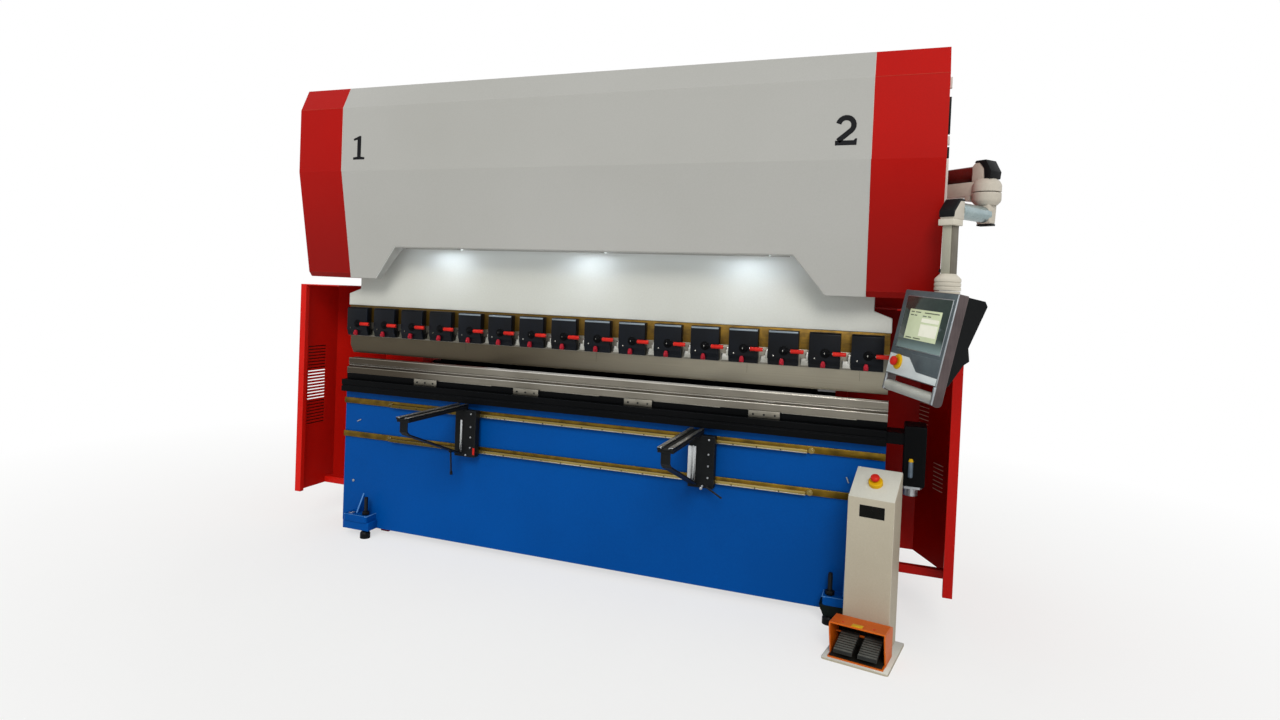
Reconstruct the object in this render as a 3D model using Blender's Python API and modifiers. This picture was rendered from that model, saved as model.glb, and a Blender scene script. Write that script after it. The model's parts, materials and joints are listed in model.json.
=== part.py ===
import bpy
import bmesh
import math
from mathutils import Vector

# Hydraulic press brake in metres, floor at Z = 0, operator side towards -Y.
# It is built about its tools: X = 0 is the middle of the bending length and Y = 0 the
# plane of the punch. At the end the machine is moved so that the middle of its
# footprint is the origin.

# Fits: touching pieces, sliding seats and turning pins
GAP = 0.0003
SEAT = 0.0003
PIN_PLAY = 0.0003
SINK = 0.002

# Bending line
CLAMP_PITCH = 0.200
CLAMP_COUNT = 16
BEND_LENGTH = CLAMP_PITCH * CLAMP_COUNT
HALF = BEND_LENGTH / 2

# Heights, stacked from the floor up
BED_BOTTOM = 0.047
BED_TOP = 0.888
TABLE_TOP = BED_TOP + 0.075
HOLDER_TOP = TABLE_TOP + 0.035
DIE_TOP = HOLDER_TOP + 0.095
DAYLIGHT = 0.032
PUNCH_TIP = DIE_TOP + DAYLIGHT
PUNCH_TOP = PUNCH_TIP + 0.110
RAM_BOTTOM = PUNCH_TOP + 0.192
RAM_TOP = RAM_BOTTOM + 0.499
STROKE_DOWN = 0.026
STROKE_UP = 0.180

# Depths at the tools
BED_FRONT = -0.050
BED_BACK = 0.050
TABLE_HALF_DEPTH = 0.100
RAM_FRONT = -0.050
RAM_BACK = 0.030

# Side frames
FRAME_X = HALF - 0.250
FRAME_THICK = 0.060
FRAME_REAR = 1.220
JAW_FRONT = RAM_BACK + 0.100
THROAT_BACK = BED_BACK + 0.400
THROAT_LOW = BED_TOP + 0.041
THROAT_HIGH = RAM_BOTTOM + 0.349
THROAT_RADIUS = 0.090
FRAME_INNER = FRAME_X - FRAME_THICK / 2
FRAME_OUTER = FRAME_X + FRAME_THICK / 2

# Cylinders and piston rods
ROD_RADIUS = 0.055
ROD_PLAY = 0.0009
ROD_Y = (RAM_FRONT + RAM_BACK) / 2
CYLINDER_BOTTOM = RAM_TOP + STROKE_UP + 0.010
CYLINDER_TOP = CYLINDER_BOTTOM + 0.380
FRAME_TOP = CYLINDER_TOP + 0.060

# Covers, folded sheet
SHEET = 0.004
CARRIER_HEIGHT = 0.162
COVER_TOP = FRAME_TOP + CARRIER_HEIGHT + SHEET
COVER_CHAMFER = COVER_TOP - 0.130
COVER_CREASE = COVER_TOP - 0.501
COVER_BOTTOM = COVER_TOP - 1.125
COVER_FRONT = -0.308
COVER_EDGE_TOP = -0.246
COVER_EDGE_FRONT = -0.193
COVER_BACK = 0.350
COVER_JOINT_X = HALF - 0.121
COVER_END_X = HALF + 0.193
WINDOW_TOP = COVER_BOTTOM + 0.190
WINDOW_HALF_TOP = HALF - 0.456
WINDOW_HALF_LOW = HALF - 0.302
LIP_REAR = COVER_EDGE_FRONT + 0.048

# Side guards
GUARD_SHEET = 0.006
GUARD_X = HALF + 0.315
GUARD_FRONT = -0.129
GUARD_KINK = 0.220
GUARD_REAR = 0.560
GUARD_TURN_IN = 0.155
GUARD_LOW = 0.224
GUARD_TOP = COVER_BOTTOM - 0.052
LOUVRE_COUNT = 26
LOUVRE_PITCH = 0.020
LOUVRE_HEIGHT = 0.007
LOUVRE_LOW = 0.638

# Support arms and their rails
STRIP_HEIGHT = 0.034
STRIP_THICK = 0.012
UPPER_STRIP_LOW = BED_TOP - 0.076
LOWER_STRIP_LOW = BED_TOP - 0.286
RAIL_HALF = HALF - 0.365
RAIL_SIDE = 0.020
ARM_X = (-0.717, 0.682)
ARM_FRONT = -0.692
ARM_TOP = BED_TOP - 0.001
ARM_HALF_WIDTH = 0.037

# Pendant arm and pendant
DRUM = Vector((COVER_END_X + 0.181, -0.119))
POLE = Vector((COVER_END_X + 0.0255, -0.358))
BEAM_ROOT_Y = 0.033
DRUM_RADIUS = 0.061
DRUM_SPLIT = COVER_TOP - 0.633
POLE_WIDTH = 0.045
POLE_TOP = COVER_TOP - 0.789
SWIVEL_BOTTOM = COVER_TOP - 1.088
PENDANT_WIDTH = 0.407
PENDANT_HEIGHT = 0.379
PENDANT_DEPTH = 0.046

# Pedestal with the emergency stop and the foot switch
PEDESTAL = (HALF - 0.035, -0.258)
PEDESTAL_TURN = math.radians(-10.4)
COLUMN_HALF_WIDTH = 0.102
COLUMN_HALF_DEPTH = 0.082
COLUMN_FRONT_TOP = 0.686
COLUMN_BACK_TOP = 0.795
PEDAL_PIN = (-0.130, 0.080)
PEDAL_PIN_RADIUS = 0.005

for old in list(bpy.data.objects):
    bpy.data.objects.remove(old, do_unlink=True)

PARTS = bpy.data.collections.new("press_brake")
CUTTERS = bpy.data.collections.new("cutters")
bpy.context.scene.collection.children.link(PARTS)
bpy.context.scene.collection.children.link(CUTTERS)

# Rotation that lays a flat outline into a plane: "XY" as drawn, "XZ" and "YZ" upright
UPRIGHT = {"XY": (0.0, 0.0, 0.0), "XZ": (math.pi / 2, 0.0, 0.0), "YZ": (math.pi / 2, 0.0, math.pi / 2)}
DEPTH_AXIS = {"XY": 2, "XZ": 1, "YZ": 0}
TURN_TO = {"X": (0.0, math.pi / 2, 0.0), "Y": (-math.pi / 2, 0.0, 0.0), "Z": (0.0, 0.0, 0.0)}

PAINT = {
    "red": ((0.40, 0.014, 0.008), 0.40, 0.0),
    "blue": ((0.0, 0.065, 0.26), 0.40, 0.0),
    "grey": ((0.42, 0.42, 0.40), 0.50, 0.0),
    "pale": ((0.50, 0.51, 0.50), 0.50, 0.0),
    "black": ((0.008, 0.009, 0.010), 0.45, 0.0),
    "steel": ((0.38, 0.36, 0.32), 0.35, 1.0),
    "gold": ((0.24, 0.16, 0.012), 0.35, 1.0),
    "cream": ((0.40, 0.37, 0.31), 0.50, 0.0),
    "orange": ((0.60, 0.10, 0.01), 0.45, 0.0),
    "yellow": ((0.70, 0.48, 0.02), 0.45, 0.0),
    "glass": ((0.02, 0.025, 0.03), 0.15, 0.0),
    "aluminium": ((0.60, 0.60, 0.60), 0.35, 1.0),
}


def guide(name, location, turn=(0.0, 0.0, 0.0), parent=None, order="XYZ"):
    """Empty that parts are placed and turned by."""
    obj = bpy.data.objects.new(name, None)
    PARTS.objects.link(obj)
    obj.parent = parent
    obj.location = location
    obj.rotation_mode = order
    obj.rotation_euler = turn
    return obj


MACHINE = guide("machine_origin", (0.0, 0.0, 0.0))


def enrol(obj, paint, parent):
    """File an object as a painted part, or as a hidden cutter when it has no paint."""
    obj.parent = parent or MACHINE
    if paint is None:
        CUTTERS.objects.link(obj)
        obj.hide_render = True
        obj.display_type = "WIRE"
        return obj
    PARTS.objects.link(obj)
    colour, roughness, metallic = PAINT[paint]
    mat = bpy.data.materials.new(obj.name + "_paint")
    mat.use_nodes = True
    shader = mat.node_tree.nodes["Principled BSDF"]
    shader.inputs["Base Color"].default_value = (*colour, 1.0)
    shader.inputs["Roughness"].default_value = roughness
    shader.inputs["Metallic"].default_value = metallic
    obj.data.materials.append(mat)
    return obj


def box(name, x, y, z, paint=None, parent=None):
    """Cuboid between (low, high) pairs, with its origin in its middle."""
    bm = bmesh.new()
    bmesh.ops.create_cube(bm, size=1.0)
    bmesh.ops.scale(bm, vec=(x[1] - x[0], y[1] - y[0], z[1] - z[0]), verts=bm.verts)
    mesh = bpy.data.meshes.new(name)
    bm.to_mesh(mesh)
    bm.free()
    obj = enrol(bpy.data.objects.new(name, mesh), paint, parent)
    obj.location = (sum(x) / 2, sum(y) / 2, sum(z) / 2)
    return obj


def round_bar(name, start, axis, length, radius, paint=None, parent=None, sides=16, tip=None):
    """Round bar or cone that runs from a point along an axis."""
    bm = bmesh.new()
    bmesh.ops.create_cone(
        bm, cap_ends=True, segments=sides, radius1=radius,
        radius2=radius if tip is None else tip, depth=length)
    bmesh.ops.translate(bm, vec=(0.0, 0.0, length / 2), verts=bm.verts)
    mesh = bpy.data.meshes.new(name)
    bm.to_mesh(mesh)
    bm.free()
    mesh.shade_smooth()
    mesh.set_sharp_from_angle(angle=math.radians(40.0))
    obj = enrol(bpy.data.objects.new(name, mesh), paint, parent)
    obj.location = start
    obj.rotation_euler = TURN_TO[axis]
    return obj


def as_mesh(flat, paint, parent):
    """Turn a curve object into a welded mesh object of the same name and place."""
    bpy.context.scene.collection.objects.link(flat)
    bpy.context.view_layer.update()
    graph = bpy.context.evaluated_depsgraph_get()
    mesh = bpy.data.meshes.new_from_object(flat.evaluated_get(graph))
    bm = bmesh.new()
    bm.from_mesh(mesh)
    bmesh.ops.remove_doubles(bm, verts=bm.verts, dist=0.00001)
    bm.to_mesh(mesh)
    bm.free()
    name = flat.name
    pose = flat.matrix_world.copy()
    bpy.data.objects.remove(flat, do_unlink=True)
    mesh.name = name
    mesh.materials.clear()
    obj = enrol(bpy.data.objects.new(name, mesh), paint, parent)
    obj.matrix_basis = pose
    return obj


def flat_curve(name, outlines, closed):
    """2D curve through straight-sided outlines."""
    curve = bpy.data.curves.new(name, "CURVE")
    curve.dimensions = "2D"
    curve.fill_mode = "BOTH" if closed else "NONE"
    for outline in outlines:
        spline = curve.splines.new("POLY")
        spline.points.add(len(outline) - 1)
        for point, (u, v) in zip(spline.points, outline):
            point.co = (u, v, 0.0, 1.0)
        spline.use_cyclic_u = closed
    return bpy.data.objects.new(name, curve)


def stand(obj, plane, at):
    """Lay a flat curve into its plane at a depth."""
    obj.rotation_euler = UPRIGHT[plane]
    obj.location[DEPTH_AXIS[plane]] = at
    return obj


def plate(name, outline, plane, span, paint=None, parent=None, holes=()):
    """Flat outline with optional holes, as thick as its span along the third axis."""
    flat = flat_curve(name, [outline, *holes], True)
    flat.data.extrude = (span[1] - span[0]) / 2
    return as_mesh(stand(flat, plane, sum(span) / 2), paint, parent)


def folded(name, path, plane, span, thick, paint=None, parent=None, side=1.0):
    """Sheet bent along an open path. Its thickness lies on one side of the path."""
    strip = flat_curve(name, [path], False)
    strip.data.extrude = (span[1] - span[0]) / 2
    obj = as_mesh(stand(strip, plane, sum(span) / 2), paint, parent)
    solid = obj.modifiers.new("sheet", "SOLIDIFY")
    solid.thickness = thick
    solid.offset = side
    solid.use_even_offset = True
    return obj


def bent_bar(name, points, radius, paint=None, parent=None):
    """Round bar along a line of points."""
    curve = bpy.data.curves.new(name, "CURVE")
    curve.dimensions = "3D"
    curve.bevel_depth = radius
    curve.bevel_resolution = 2
    curve.use_fill_caps = True
    spline = curve.splines.new("POLY")
    spline.points.add(len(points) - 1)
    for point, place in zip(spline.points, points):
        point.co = (*place, 1.0)
    return as_mesh(bpy.data.objects.new(name, curve), paint, parent)


def turned(name, profile, location, paint=None, parent=None, sides=20):
    """Shape turned about its own Z from (radius, height) points, top to bottom."""
    mesh = bpy.data.meshes.new(name)
    points = [(radius, 0.0, height) for radius, height in profile]
    mesh.from_pydata(points, [(i, i + 1) for i in range(len(points) - 1)], [])
    obj = enrol(bpy.data.objects.new(name, mesh), paint, parent)
    obj.location = location
    screw = obj.modifiers.new("turn", "SCREW")
    screw.steps = sides
    screw.render_steps = sides
    screw.use_merge_vertices = True
    screw.merge_threshold = 0.00001
    return obj


def soften(obj, width, segments=1, angle=35.0):
    """Break the sharp edges of a part."""
    mod = obj.modifiers.new("edge_break", "BEVEL")
    mod.width = width
    mod.segments = segments
    mod.limit_method = "ANGLE"
    mod.angle_limit = math.radians(angle)
    return obj


def boolean(obj, other, operation):
    mod = obj.modifiers.new(operation.lower(), "BOOLEAN")
    mod.operation = operation
    mod.solver = "EXACT"
    mod.object = other
    return obj


def join(obj, *others):
    """Fuse helpers with a part."""
    for other in others:
        boolean(obj, other, "UNION")
    return obj


def cut(obj, *others):
    """Cut helpers out of a part."""
    for other in others:
        boolean(obj, other, "DIFFERENCE")
    return obj


def row(obj, count, step, axis=0):
    """Repeat an object along an axis of its own."""
    mod = obj.modifiers.new("row", "ARRAY")
    mod.count = count
    mod.use_relative_offset = False
    mod.use_constant_offset = True
    offset = [0.0, 0.0, 0.0]
    offset[axis] = step
    mod.constant_offset_displace = offset
    return obj


def mirror(obj):
    """Keep the right half of a part and repeat it on the left of X = 0."""
    mod = obj.modifiers.new("halves", "MIRROR")
    mod.mirror_object = MACHINE
    mod.use_bisect_axis[0] = True
    mod.merge_threshold = 0.0001
    return obj


def rounded(corners, steps=4):
    """Outline from (u, v, radius) corners, with an arc where the radius isn't zero."""
    points = []
    for i, (u, v, radius) in enumerate(corners):
        here = Vector((u, v))
        if radius == 0:
            points.append((u, v))
            continue
        before = (Vector(corners[i - 1][:2]) - here).normalized()
        after = (Vector(corners[(i + 1) % len(corners)][:2]) - here).normalized()
        half_angle = before.angle(after) / 2
        centre = here + (before + after).normalized() * radius / math.sin(half_angle)
        first = here + before * radius / math.tan(half_angle) - centre
        last = here + after * radius / math.tan(half_angle) - centre
        points += [tuple(centre + radius * first.slerp(last, k / steps)) for k in range(steps + 1)]
    return points


def symmetric(right):
    """Closed outline from its right half, listed from the bottom up."""
    return list(right) + [(-u, v) for u, v in reversed(right)]


def span_on(side, near, far):
    """(low, high) pair on the left or right of the machine."""
    return tuple(sorted((side * near, side * far)))


SIDES = ((-1, "left"), (1, "right"))


# Blue bed plate that carries the table, with a foot bracket at each end
FOOT_X = HALF - 0.172
FOOT_HALF_WIDTH = 0.085
FOOT_FRONT = BED_FRONT - 0.100
FOOT_LOW = 0.102
FOOT_TOP = 0.142
FOOT_HOLE_HEIGHT = FOOT_TOP - FOOT_LOW + 2 * SINK
BOLT_X = FOOT_X - 0.053
BOLT_Y = BED_FRONT - 0.060
BOLT_RADIUS = 0.012
BED_CORNER = 0.020
bed = plate("bed_plate", [
    (-BED_CORNER, BED_BOTTOM), (HALF - BED_CORNER, BED_BOTTOM), (HALF, BED_BOTTOM + BED_CORNER),
    (HALF, BED_TOP - GAP), (-BED_CORNER, BED_TOP - GAP)], "XZ", (BED_FRONT, BED_BACK), "blue")
soften(bed, 0.003)
foot = plate("foot_bracket", rounded([
    (FOOT_X - FOOT_HALF_WIDTH, FOOT_FRONT, 0.015), (FOOT_X + FOOT_HALF_WIDTH, FOOT_FRONT, 0.015),
    (FOOT_X + FOOT_HALF_WIDTH, BED_FRONT + SINK, 0), (FOOT_X - FOOT_HALF_WIDTH, BED_FRONT + SINK, 0)], 3),
    "XY", (FOOT_LOW, FOOT_TOP))
GUSSET_X = (FOOT_X + 0.006, FOOT_X + 0.018)
GUSSET_FRONT = FOOT_FRONT + 0.035
GUSSET_TOP = FOOT_TOP + 0.110
ANCHOR_RADIUS = 0.011
gusset = plate("foot_gusset", [
    (BED_FRONT + SINK, FOOT_TOP - SINK), (BED_FRONT + SINK, GUSSET_TOP), (BED_FRONT, GUSSET_TOP),
    (GUSSET_FRONT, FOOT_TOP), (GUSSET_FRONT, FOOT_TOP - SINK)], "YZ", GUSSET_X)
anchor_hole = round_bar(
    "anchor_hole", (FOOT_X + 0.050, BOLT_Y, FOOT_LOW - SINK), "Z", FOOT_HOLE_HEIGHT, ANCHOR_RADIUS, sides=12)
bolt_bore = round_bar(
    "bolt_bore", (BOLT_X, BOLT_Y, FOOT_LOW - SINK), "Z", FOOT_HOLE_HEIGHT, BOLT_RADIUS + PIN_PLAY, sides=12)
join(bed, foot, gusset)
cut(bed, anchor_hole, bolt_bore)
mirror(bed)

PAD_RADIUS = 0.036
PAD_NECK = 0.030
PAD_TOP = FOOT_LOW - 0.010
NUT_RADIUS = 0.021
BOLT_TOP = FOOT_TOP + 0.108
for side, word in SIDES:
    turned("levelling_bolt_" + word, [
        (0.0, BOLT_TOP), (BOLT_RADIUS - 0.002, BOLT_TOP), (BOLT_RADIUS, BOLT_TOP - 0.002),
        (BOLT_RADIUS, FOOT_TOP + 0.022), (NUT_RADIUS, FOOT_TOP + 0.020), (NUT_RADIUS, FOOT_TOP + GAP),
        (BOLT_RADIUS, FOOT_TOP + GAP), (BOLT_RADIUS, PAD_TOP), (PAD_NECK, PAD_TOP), (PAD_RADIUS, 0.006),
        (PAD_RADIUS, 0.0), (0.0, 0.0)], (side * BOLT_X, BOLT_Y, 0.0), "black", sides=12)

# Red side frames, one thick C plate each, with a pad that guides the ram
GUIDE_LOW = THROAT_HIGH + 0.020
GUIDE_TOP = RAM_TOP - STROKE_DOWN - 0.010
table_back = TABLE_HALF_DEPTH + GAP
frame_outline = rounded([
    (BED_BACK + GAP, 0.0, 0), (FRAME_REAR, 0.0, 0.09), (FRAME_REAR, FRAME_TOP, 0.22),
    (JAW_FRONT, FRAME_TOP, 0.03), (JAW_FRONT, GUIDE_TOP, 0), (RAM_BACK + SEAT, GUIDE_TOP, 0),
    (RAM_BACK + SEAT, GUIDE_LOW, 0), (JAW_FRONT, GUIDE_LOW, 0), (JAW_FRONT, THROAT_HIGH, 0),
    (THROAT_BACK, THROAT_HIGH, THROAT_RADIUS), (THROAT_BACK, THROAT_LOW, THROAT_RADIUS),
    (table_back, THROAT_LOW, 0), (table_back, BED_TOP - GAP, 0), (BED_BACK + GAP, BED_TOP - GAP, 0)])
for side, word in SIDES:
    frame = plate("side_frame_" + word, frame_outline, "YZ", span_on(side, FRAME_INNER, FRAME_OUTER), "red")
    soften(frame, 0.003, angle=50.0)

# Beams that tie the frames together at the back
tie_reach = FRAME_INNER - GAP
TANK_BOTTOM = FRAME_TOP - 0.560
TANK_TOP = FRAME_TOP - 0.080
rear_tie = box("rear_tie_beam", (-tie_reach, tie_reach), (0.95, 1.07), (0.12, 0.42), "red")
soften(rear_tie, 0.008, 2)
upper_tie = box(
    "upper_tie_beam", (-tie_reach, tie_reach), (0.62, 0.74), (TANK_BOTTOM - 0.140, TANK_BOTTOM - GAP), "red")
soften(upper_tie, 0.008, 2)

# Black crowning table with a groove along its front, and the die holder with four clamp plates
TABLE_GROOVE = 0.006
GROOVE_HALF = 0.005
groove_mid = (BED_TOP + TABLE_TOP) / 2
table = plate("crowning_table", [
    (-TABLE_HALF_DEPTH, BED_TOP), (TABLE_HALF_DEPTH, BED_TOP), (TABLE_HALF_DEPTH, TABLE_TOP - GAP),
    (-TABLE_HALF_DEPTH, TABLE_TOP - GAP), (-TABLE_HALF_DEPTH, groove_mid + GROOVE_HALF),
    (-TABLE_HALF_DEPTH + TABLE_GROOVE, groove_mid + GROOVE_HALF),
    (-TABLE_HALF_DEPTH + TABLE_GROOVE, groove_mid - GROOVE_HALF),
    (-TABLE_HALF_DEPTH, groove_mid - GROOVE_HALF)], "YZ", (-HALF, HALF), "black")
soften(table, 0.002)

DIE_HALF_DEPTH = 0.050
HOLDER_PLATES = 4
HOLDER_PLATE_PITCH = 0.675
HOLDER_PLATE_HALF = 0.080
holder = box(
    "die_holder", (-HALF, HALF), (-DIE_HALF_DEPTH, DIE_HALF_DEPTH), (TABLE_TOP, HOLDER_TOP - GAP), "black")
soften(holder, 0.002)
first_plate = -HOLDER_PLATE_PITCH * (HOLDER_PLATES - 1) / 2
holder_plate = box(
    "holder_plate", (first_plate - HOLDER_PLATE_HALF, first_plate + HOLDER_PLATE_HALF),
    (-DIE_HALF_DEPTH - 0.010, -DIE_HALF_DEPTH + 2.5 * SINK), (TABLE_TOP + 0.0035, HOLDER_TOP - 0.0055))
soften(holder_plate, 0.0015)
row(holder_plate, HOLDER_PLATES, HOLDER_PLATE_PITCH)
join(holder, holder_plate)

# Lower die: clamped foot, waist, head with the bending groove
DIE_HEAD = 0.034
DIE_WAIST = 0.030
DIE_FOOT_TOP = HOLDER_TOP + 0.037
DIE_HEAD_LOW = DIE_TOP - 0.036
V_HALF = 0.012
V_DEPTH = 0.022
plate("lower_die", symmetric([
    (DIE_HALF_DEPTH, HOLDER_TOP), (DIE_HALF_DEPTH, DIE_FOOT_TOP), (DIE_WAIST + 0.006, DIE_FOOT_TOP + 0.006),
    (DIE_WAIST, DIE_FOOT_TOP + 0.012), (DIE_WAIST, DIE_HEAD_LOW - 0.004), (DIE_HEAD, DIE_HEAD_LOW),
    (DIE_HEAD, DIE_TOP - 0.001), (DIE_HEAD - 0.001, DIE_TOP), (V_HALF, DIE_TOP), (0.001, DIE_TOP - V_DEPTH)]),
    "YZ", (-HALF, HALF), "steel")

# Strips on the bed with the square rails that the support arms slide on
strip_front = BED_FRONT - GAP - STRIP_THICK
rail_front = strip_front - 0.018
RAIL_LIFT = 0.010
WASHER_RADIUS = 0.015
for word, low in (("upper", UPPER_STRIP_LOW), ("lower", LOWER_STRIP_LOW)):
    strip = box(
        "support_rail_" + word, (-HALF, HALF), (strip_front, BED_FRONT - GAP), (low, low + STRIP_HEIGHT), "gold")
    rail = box(
        "rail_bar_" + word, (-RAIL_HALF, RAIL_HALF), (rail_front, strip_front + SINK),
        (low + RAIL_LIFT - RAIL_SIDE / 2, low + RAIL_LIFT + RAIL_SIDE / 2))
    washer = round_bar(
        "rail_washer_" + word, (RAIL_HALF + WASHER_RADIUS + 0.004, rail_front, low + RAIL_LIFT + 0.004), "Y",
        strip_front + SINK - rail_front, WASHER_RADIUS, sides=12)
    join(strip, rail, washer)
    mirror(strip)

# Support arms: a carriage hooked on both rails, a bracket of bent strap, twin strips on top
CARRIAGE_LEFT = 0.035
CARRIAGE_RIGHT = 0.100
CARRIAGE_LOW = LOWER_STRIP_LOW - 0.018
CARRIAGE_TOP = UPPER_STRIP_LOW + 0.042
CARRIAGE_FRONT = -0.130
HOOK_DEPTH = 0.012
HOOK_HEIGHT = 0.012
STRAP_HALF_WIDTH = 0.022
STRAP_THICK = 0.008
STRIP_BASE = 0.014
TOP_STRIP = 0.011
TOP_CHANNEL = 0.020
carriage_back = rail_front - SEAT
beam_top = ARM_TOP - TOP_STRIP - GAP
ARM_BACK = -TABLE_HALF_DEPTH - 0.005
NOSE_DROP = 0.066
for x, word in zip(ARM_X, ("left", "right")):
    carriage = box(
        "support_carriage_" + word, (x - CARRIAGE_LEFT, x + CARRIAGE_RIGHT),
        (CARRIAGE_FRONT, carriage_back), (CARRIAGE_LOW, CARRIAGE_TOP), "black")
    soften(carriage, 0.003)
    for rail_word, low in (("upper", UPPER_STRIP_LOW), ("lower", LOWER_STRIP_LOW)):
        rail_mid = low + RAIL_LIFT
        for sign, lip in ((-1, "under"), (1, "over")):
            edge = rail_mid + sign * (RAIL_SIDE / 2 + SEAT)
            z = tuple(sorted((edge, edge + sign * HOOK_HEIGHT)))
            join(carriage, box(
                "hook_%s_%s_%s" % (rail_word, lip, word), (x - CARRIAGE_LEFT + 0.004, x + CARRIAGE_RIGHT - 0.004),
                (carriage_back - SINK, carriage_back + HOOK_DEPTH), z))
    beam = box(
        "arm_base_" + word, (x - ARM_HALF_WIDTH, x + ARM_HALF_WIDTH), (ARM_FRONT, ARM_BACK),
        (beam_top - STRIP_BASE, beam_top))
    riser = box(
        "arm_riser_" + word, (x - CARRIAGE_LEFT + SINK, x + CARRIAGE_LEFT),
        (CARRIAGE_FRONT + SINK, ARM_BACK - SINK),
        (CARRIAGE_TOP - SINK, beam_top - SINK))
    strap = folded("arm_strap_" + word, [
        (ARM_FRONT + 0.006, beam_top - SINK), (ARM_FRONT + 0.006, beam_top - NOSE_DROP),
        (ARM_FRONT + 0.030, beam_top - NOSE_DROP - 0.020), (CARRIAGE_FRONT - 0.020, CARRIAGE_LOW + 0.020),
        (CARRIAGE_FRONT + 0.010, CARRIAGE_LOW + 0.012)],
        "YZ", (x - STRAP_HALF_WIDTH, x + STRAP_HALF_WIDTH), STRAP_THICK)
    join(carriage, beam, riser, strap)
    top = plate("support_top_" + word, symmetric([
        (ARM_HALF_WIDTH, beam_top + GAP), (ARM_HALF_WIDTH, ARM_TOP), (TOP_CHANNEL, ARM_TOP),
        (TOP_CHANNEL, beam_top + 0.003)]), "XZ", (ARM_FRONT - 0.008, ARM_BACK), "aluminium")
    top.location.x = x

# Clamp levers of the arms, hanging on the left one and turned back on the right one
LEVER_RADIUS = 0.005
left_x, right_x = ARM_X
left_lever = bent_bar("arm_lever_left", [
    (left_x, CARRIAGE_FRONT - 0.090, CARRIAGE_LOW + 0.052), (left_x, CARRIAGE_FRONT - 0.092, CARRIAGE_LOW + 0.020),
    (left_x + 0.012, CARRIAGE_FRONT - 0.100, CARRIAGE_LOW - 0.075)], LEVER_RADIUS)
right_lever = bent_bar("arm_lever_right", [
    (right_x + 0.070, CARRIAGE_FRONT + 0.006, CARRIAGE_LOW + 0.012),
    (right_x + 0.070, CARRIAGE_FRONT - 0.014, CARRIAGE_LOW + 0.010),
    (right_x + 0.150, CARRIAGE_FRONT - 0.016, CARRIAGE_LOW - 0.036)], LEVER_RADIUS)
join(bpy.data.objects["support_carriage_left"], left_lever)
join(bpy.data.objects["support_carriage_right"], right_lever)

# Grey front cover, folded sheet with the window over the tools
cover_profile = [
    (COVER_BACK, COVER_TOP), (COVER_EDGE_TOP, COVER_TOP), (COVER_FRONT, COVER_CHAMFER),
    (COVER_FRONT, COVER_CREASE), (COVER_EDGE_FRONT, COVER_BOTTOM)]
cover = folded("front_cover", cover_profile, "YZ", (-SINK, COVER_JOINT_X), SHEET, "grey")
cut(cover, plate("cover_window", symmetric([
    (WINDOW_HALF_LOW, COVER_BOTTOM - 0.1), (WINDOW_HALF_LOW, COVER_BOTTOM), (WINDOW_HALF_TOP, WINDOW_TOP)]),
    "XZ", (-0.5, 0.0)))
COVER_SLOPE = (COVER_FRONT - COVER_EDGE_FRONT) / (COVER_CREASE - COVER_BOTTOM)
window_front = COVER_EDGE_FRONT + COVER_SLOPE * (WINDOW_TOP - COVER_BOTTOM)
lip = folded("cover_lip", [
    (WINDOW_HALF_LOW, COVER_BOTTOM), (WINDOW_HALF_TOP, WINDOW_TOP), (-WINDOW_HALF_TOP, WINDOW_TOP)],
    "XZ", (window_front, LIP_REAR), SHEET, side=1.0)
TRIM_DROP = 0.020
trim_face = COVER_EDGE_FRONT + SHEET / 2
cut(lip, plate("lip_trim", [
    (COVER_FRONT, COVER_BOTTOM - TRIM_DROP), (trim_face - COVER_SLOPE * TRIM_DROP, COVER_BOTTOM - TRIM_DROP),
    (window_front + SHEET / 2 + COVER_SLOPE * TRIM_DROP, WINDOW_TOP + TRIM_DROP),
    (COVER_FRONT, WINDOW_TOP + TRIM_DROP)], "YZ", (-HALF, HALF)))
join(cover, lip)
mirror(cover)
LAMP_PLACES = (-0.846, 0.035, 0.908)
LAMP_HALF = 0.115
LAMP_HEIGHT = 0.010
LAMP_Y = (COVER_EDGE_FRONT - 0.020, COVER_EDGE_FRONT + 0.030)
for number, x in enumerate(LAMP_PLACES):
    lamp = box(
        "work_lamp_%d" % number, (x - LAMP_HALF, x + LAMP_HALF), LAMP_Y,
        (WINDOW_TOP - LAMP_HEIGHT, WINDOW_TOP + SHEET / 2))
    join(cover, lamp)

# Red end covers, folded like the front one and closed on the outer side
BOTTOM_NOSE = 0.028
end_profile = cover_profile[:-1] + [
    (COVER_EDGE_FRONT - 0.004, COVER_BOTTOM + BOTTOM_NOSE), (COVER_EDGE_FRONT + 0.020, COVER_BOTTOM)]
for side, word in SIDES:
    end = folded(
        "end_cover_" + word, end_profile, "YZ", span_on(side, COVER_JOINT_X + GAP, COVER_END_X - SINK), SHEET, "red")
    cheek = plate(
        "end_cheek_" + word, end_profile + [(COVER_BACK, COVER_BOTTOM)], "YZ",
        span_on(side, COVER_END_X - SHEET, COVER_END_X))
    join(end, cheek)

# Black carrier on top of the frames that the covers hang on
CARRIER_Y = (0.150, 0.250)
carrier_reach = COVER_END_X - 0.075
box("cover_carrier", (-carrier_reach, carrier_reach), CARRIER_Y,
    (FRAME_TOP + GAP, COVER_TOP - SHEET - GAP), "black")

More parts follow.
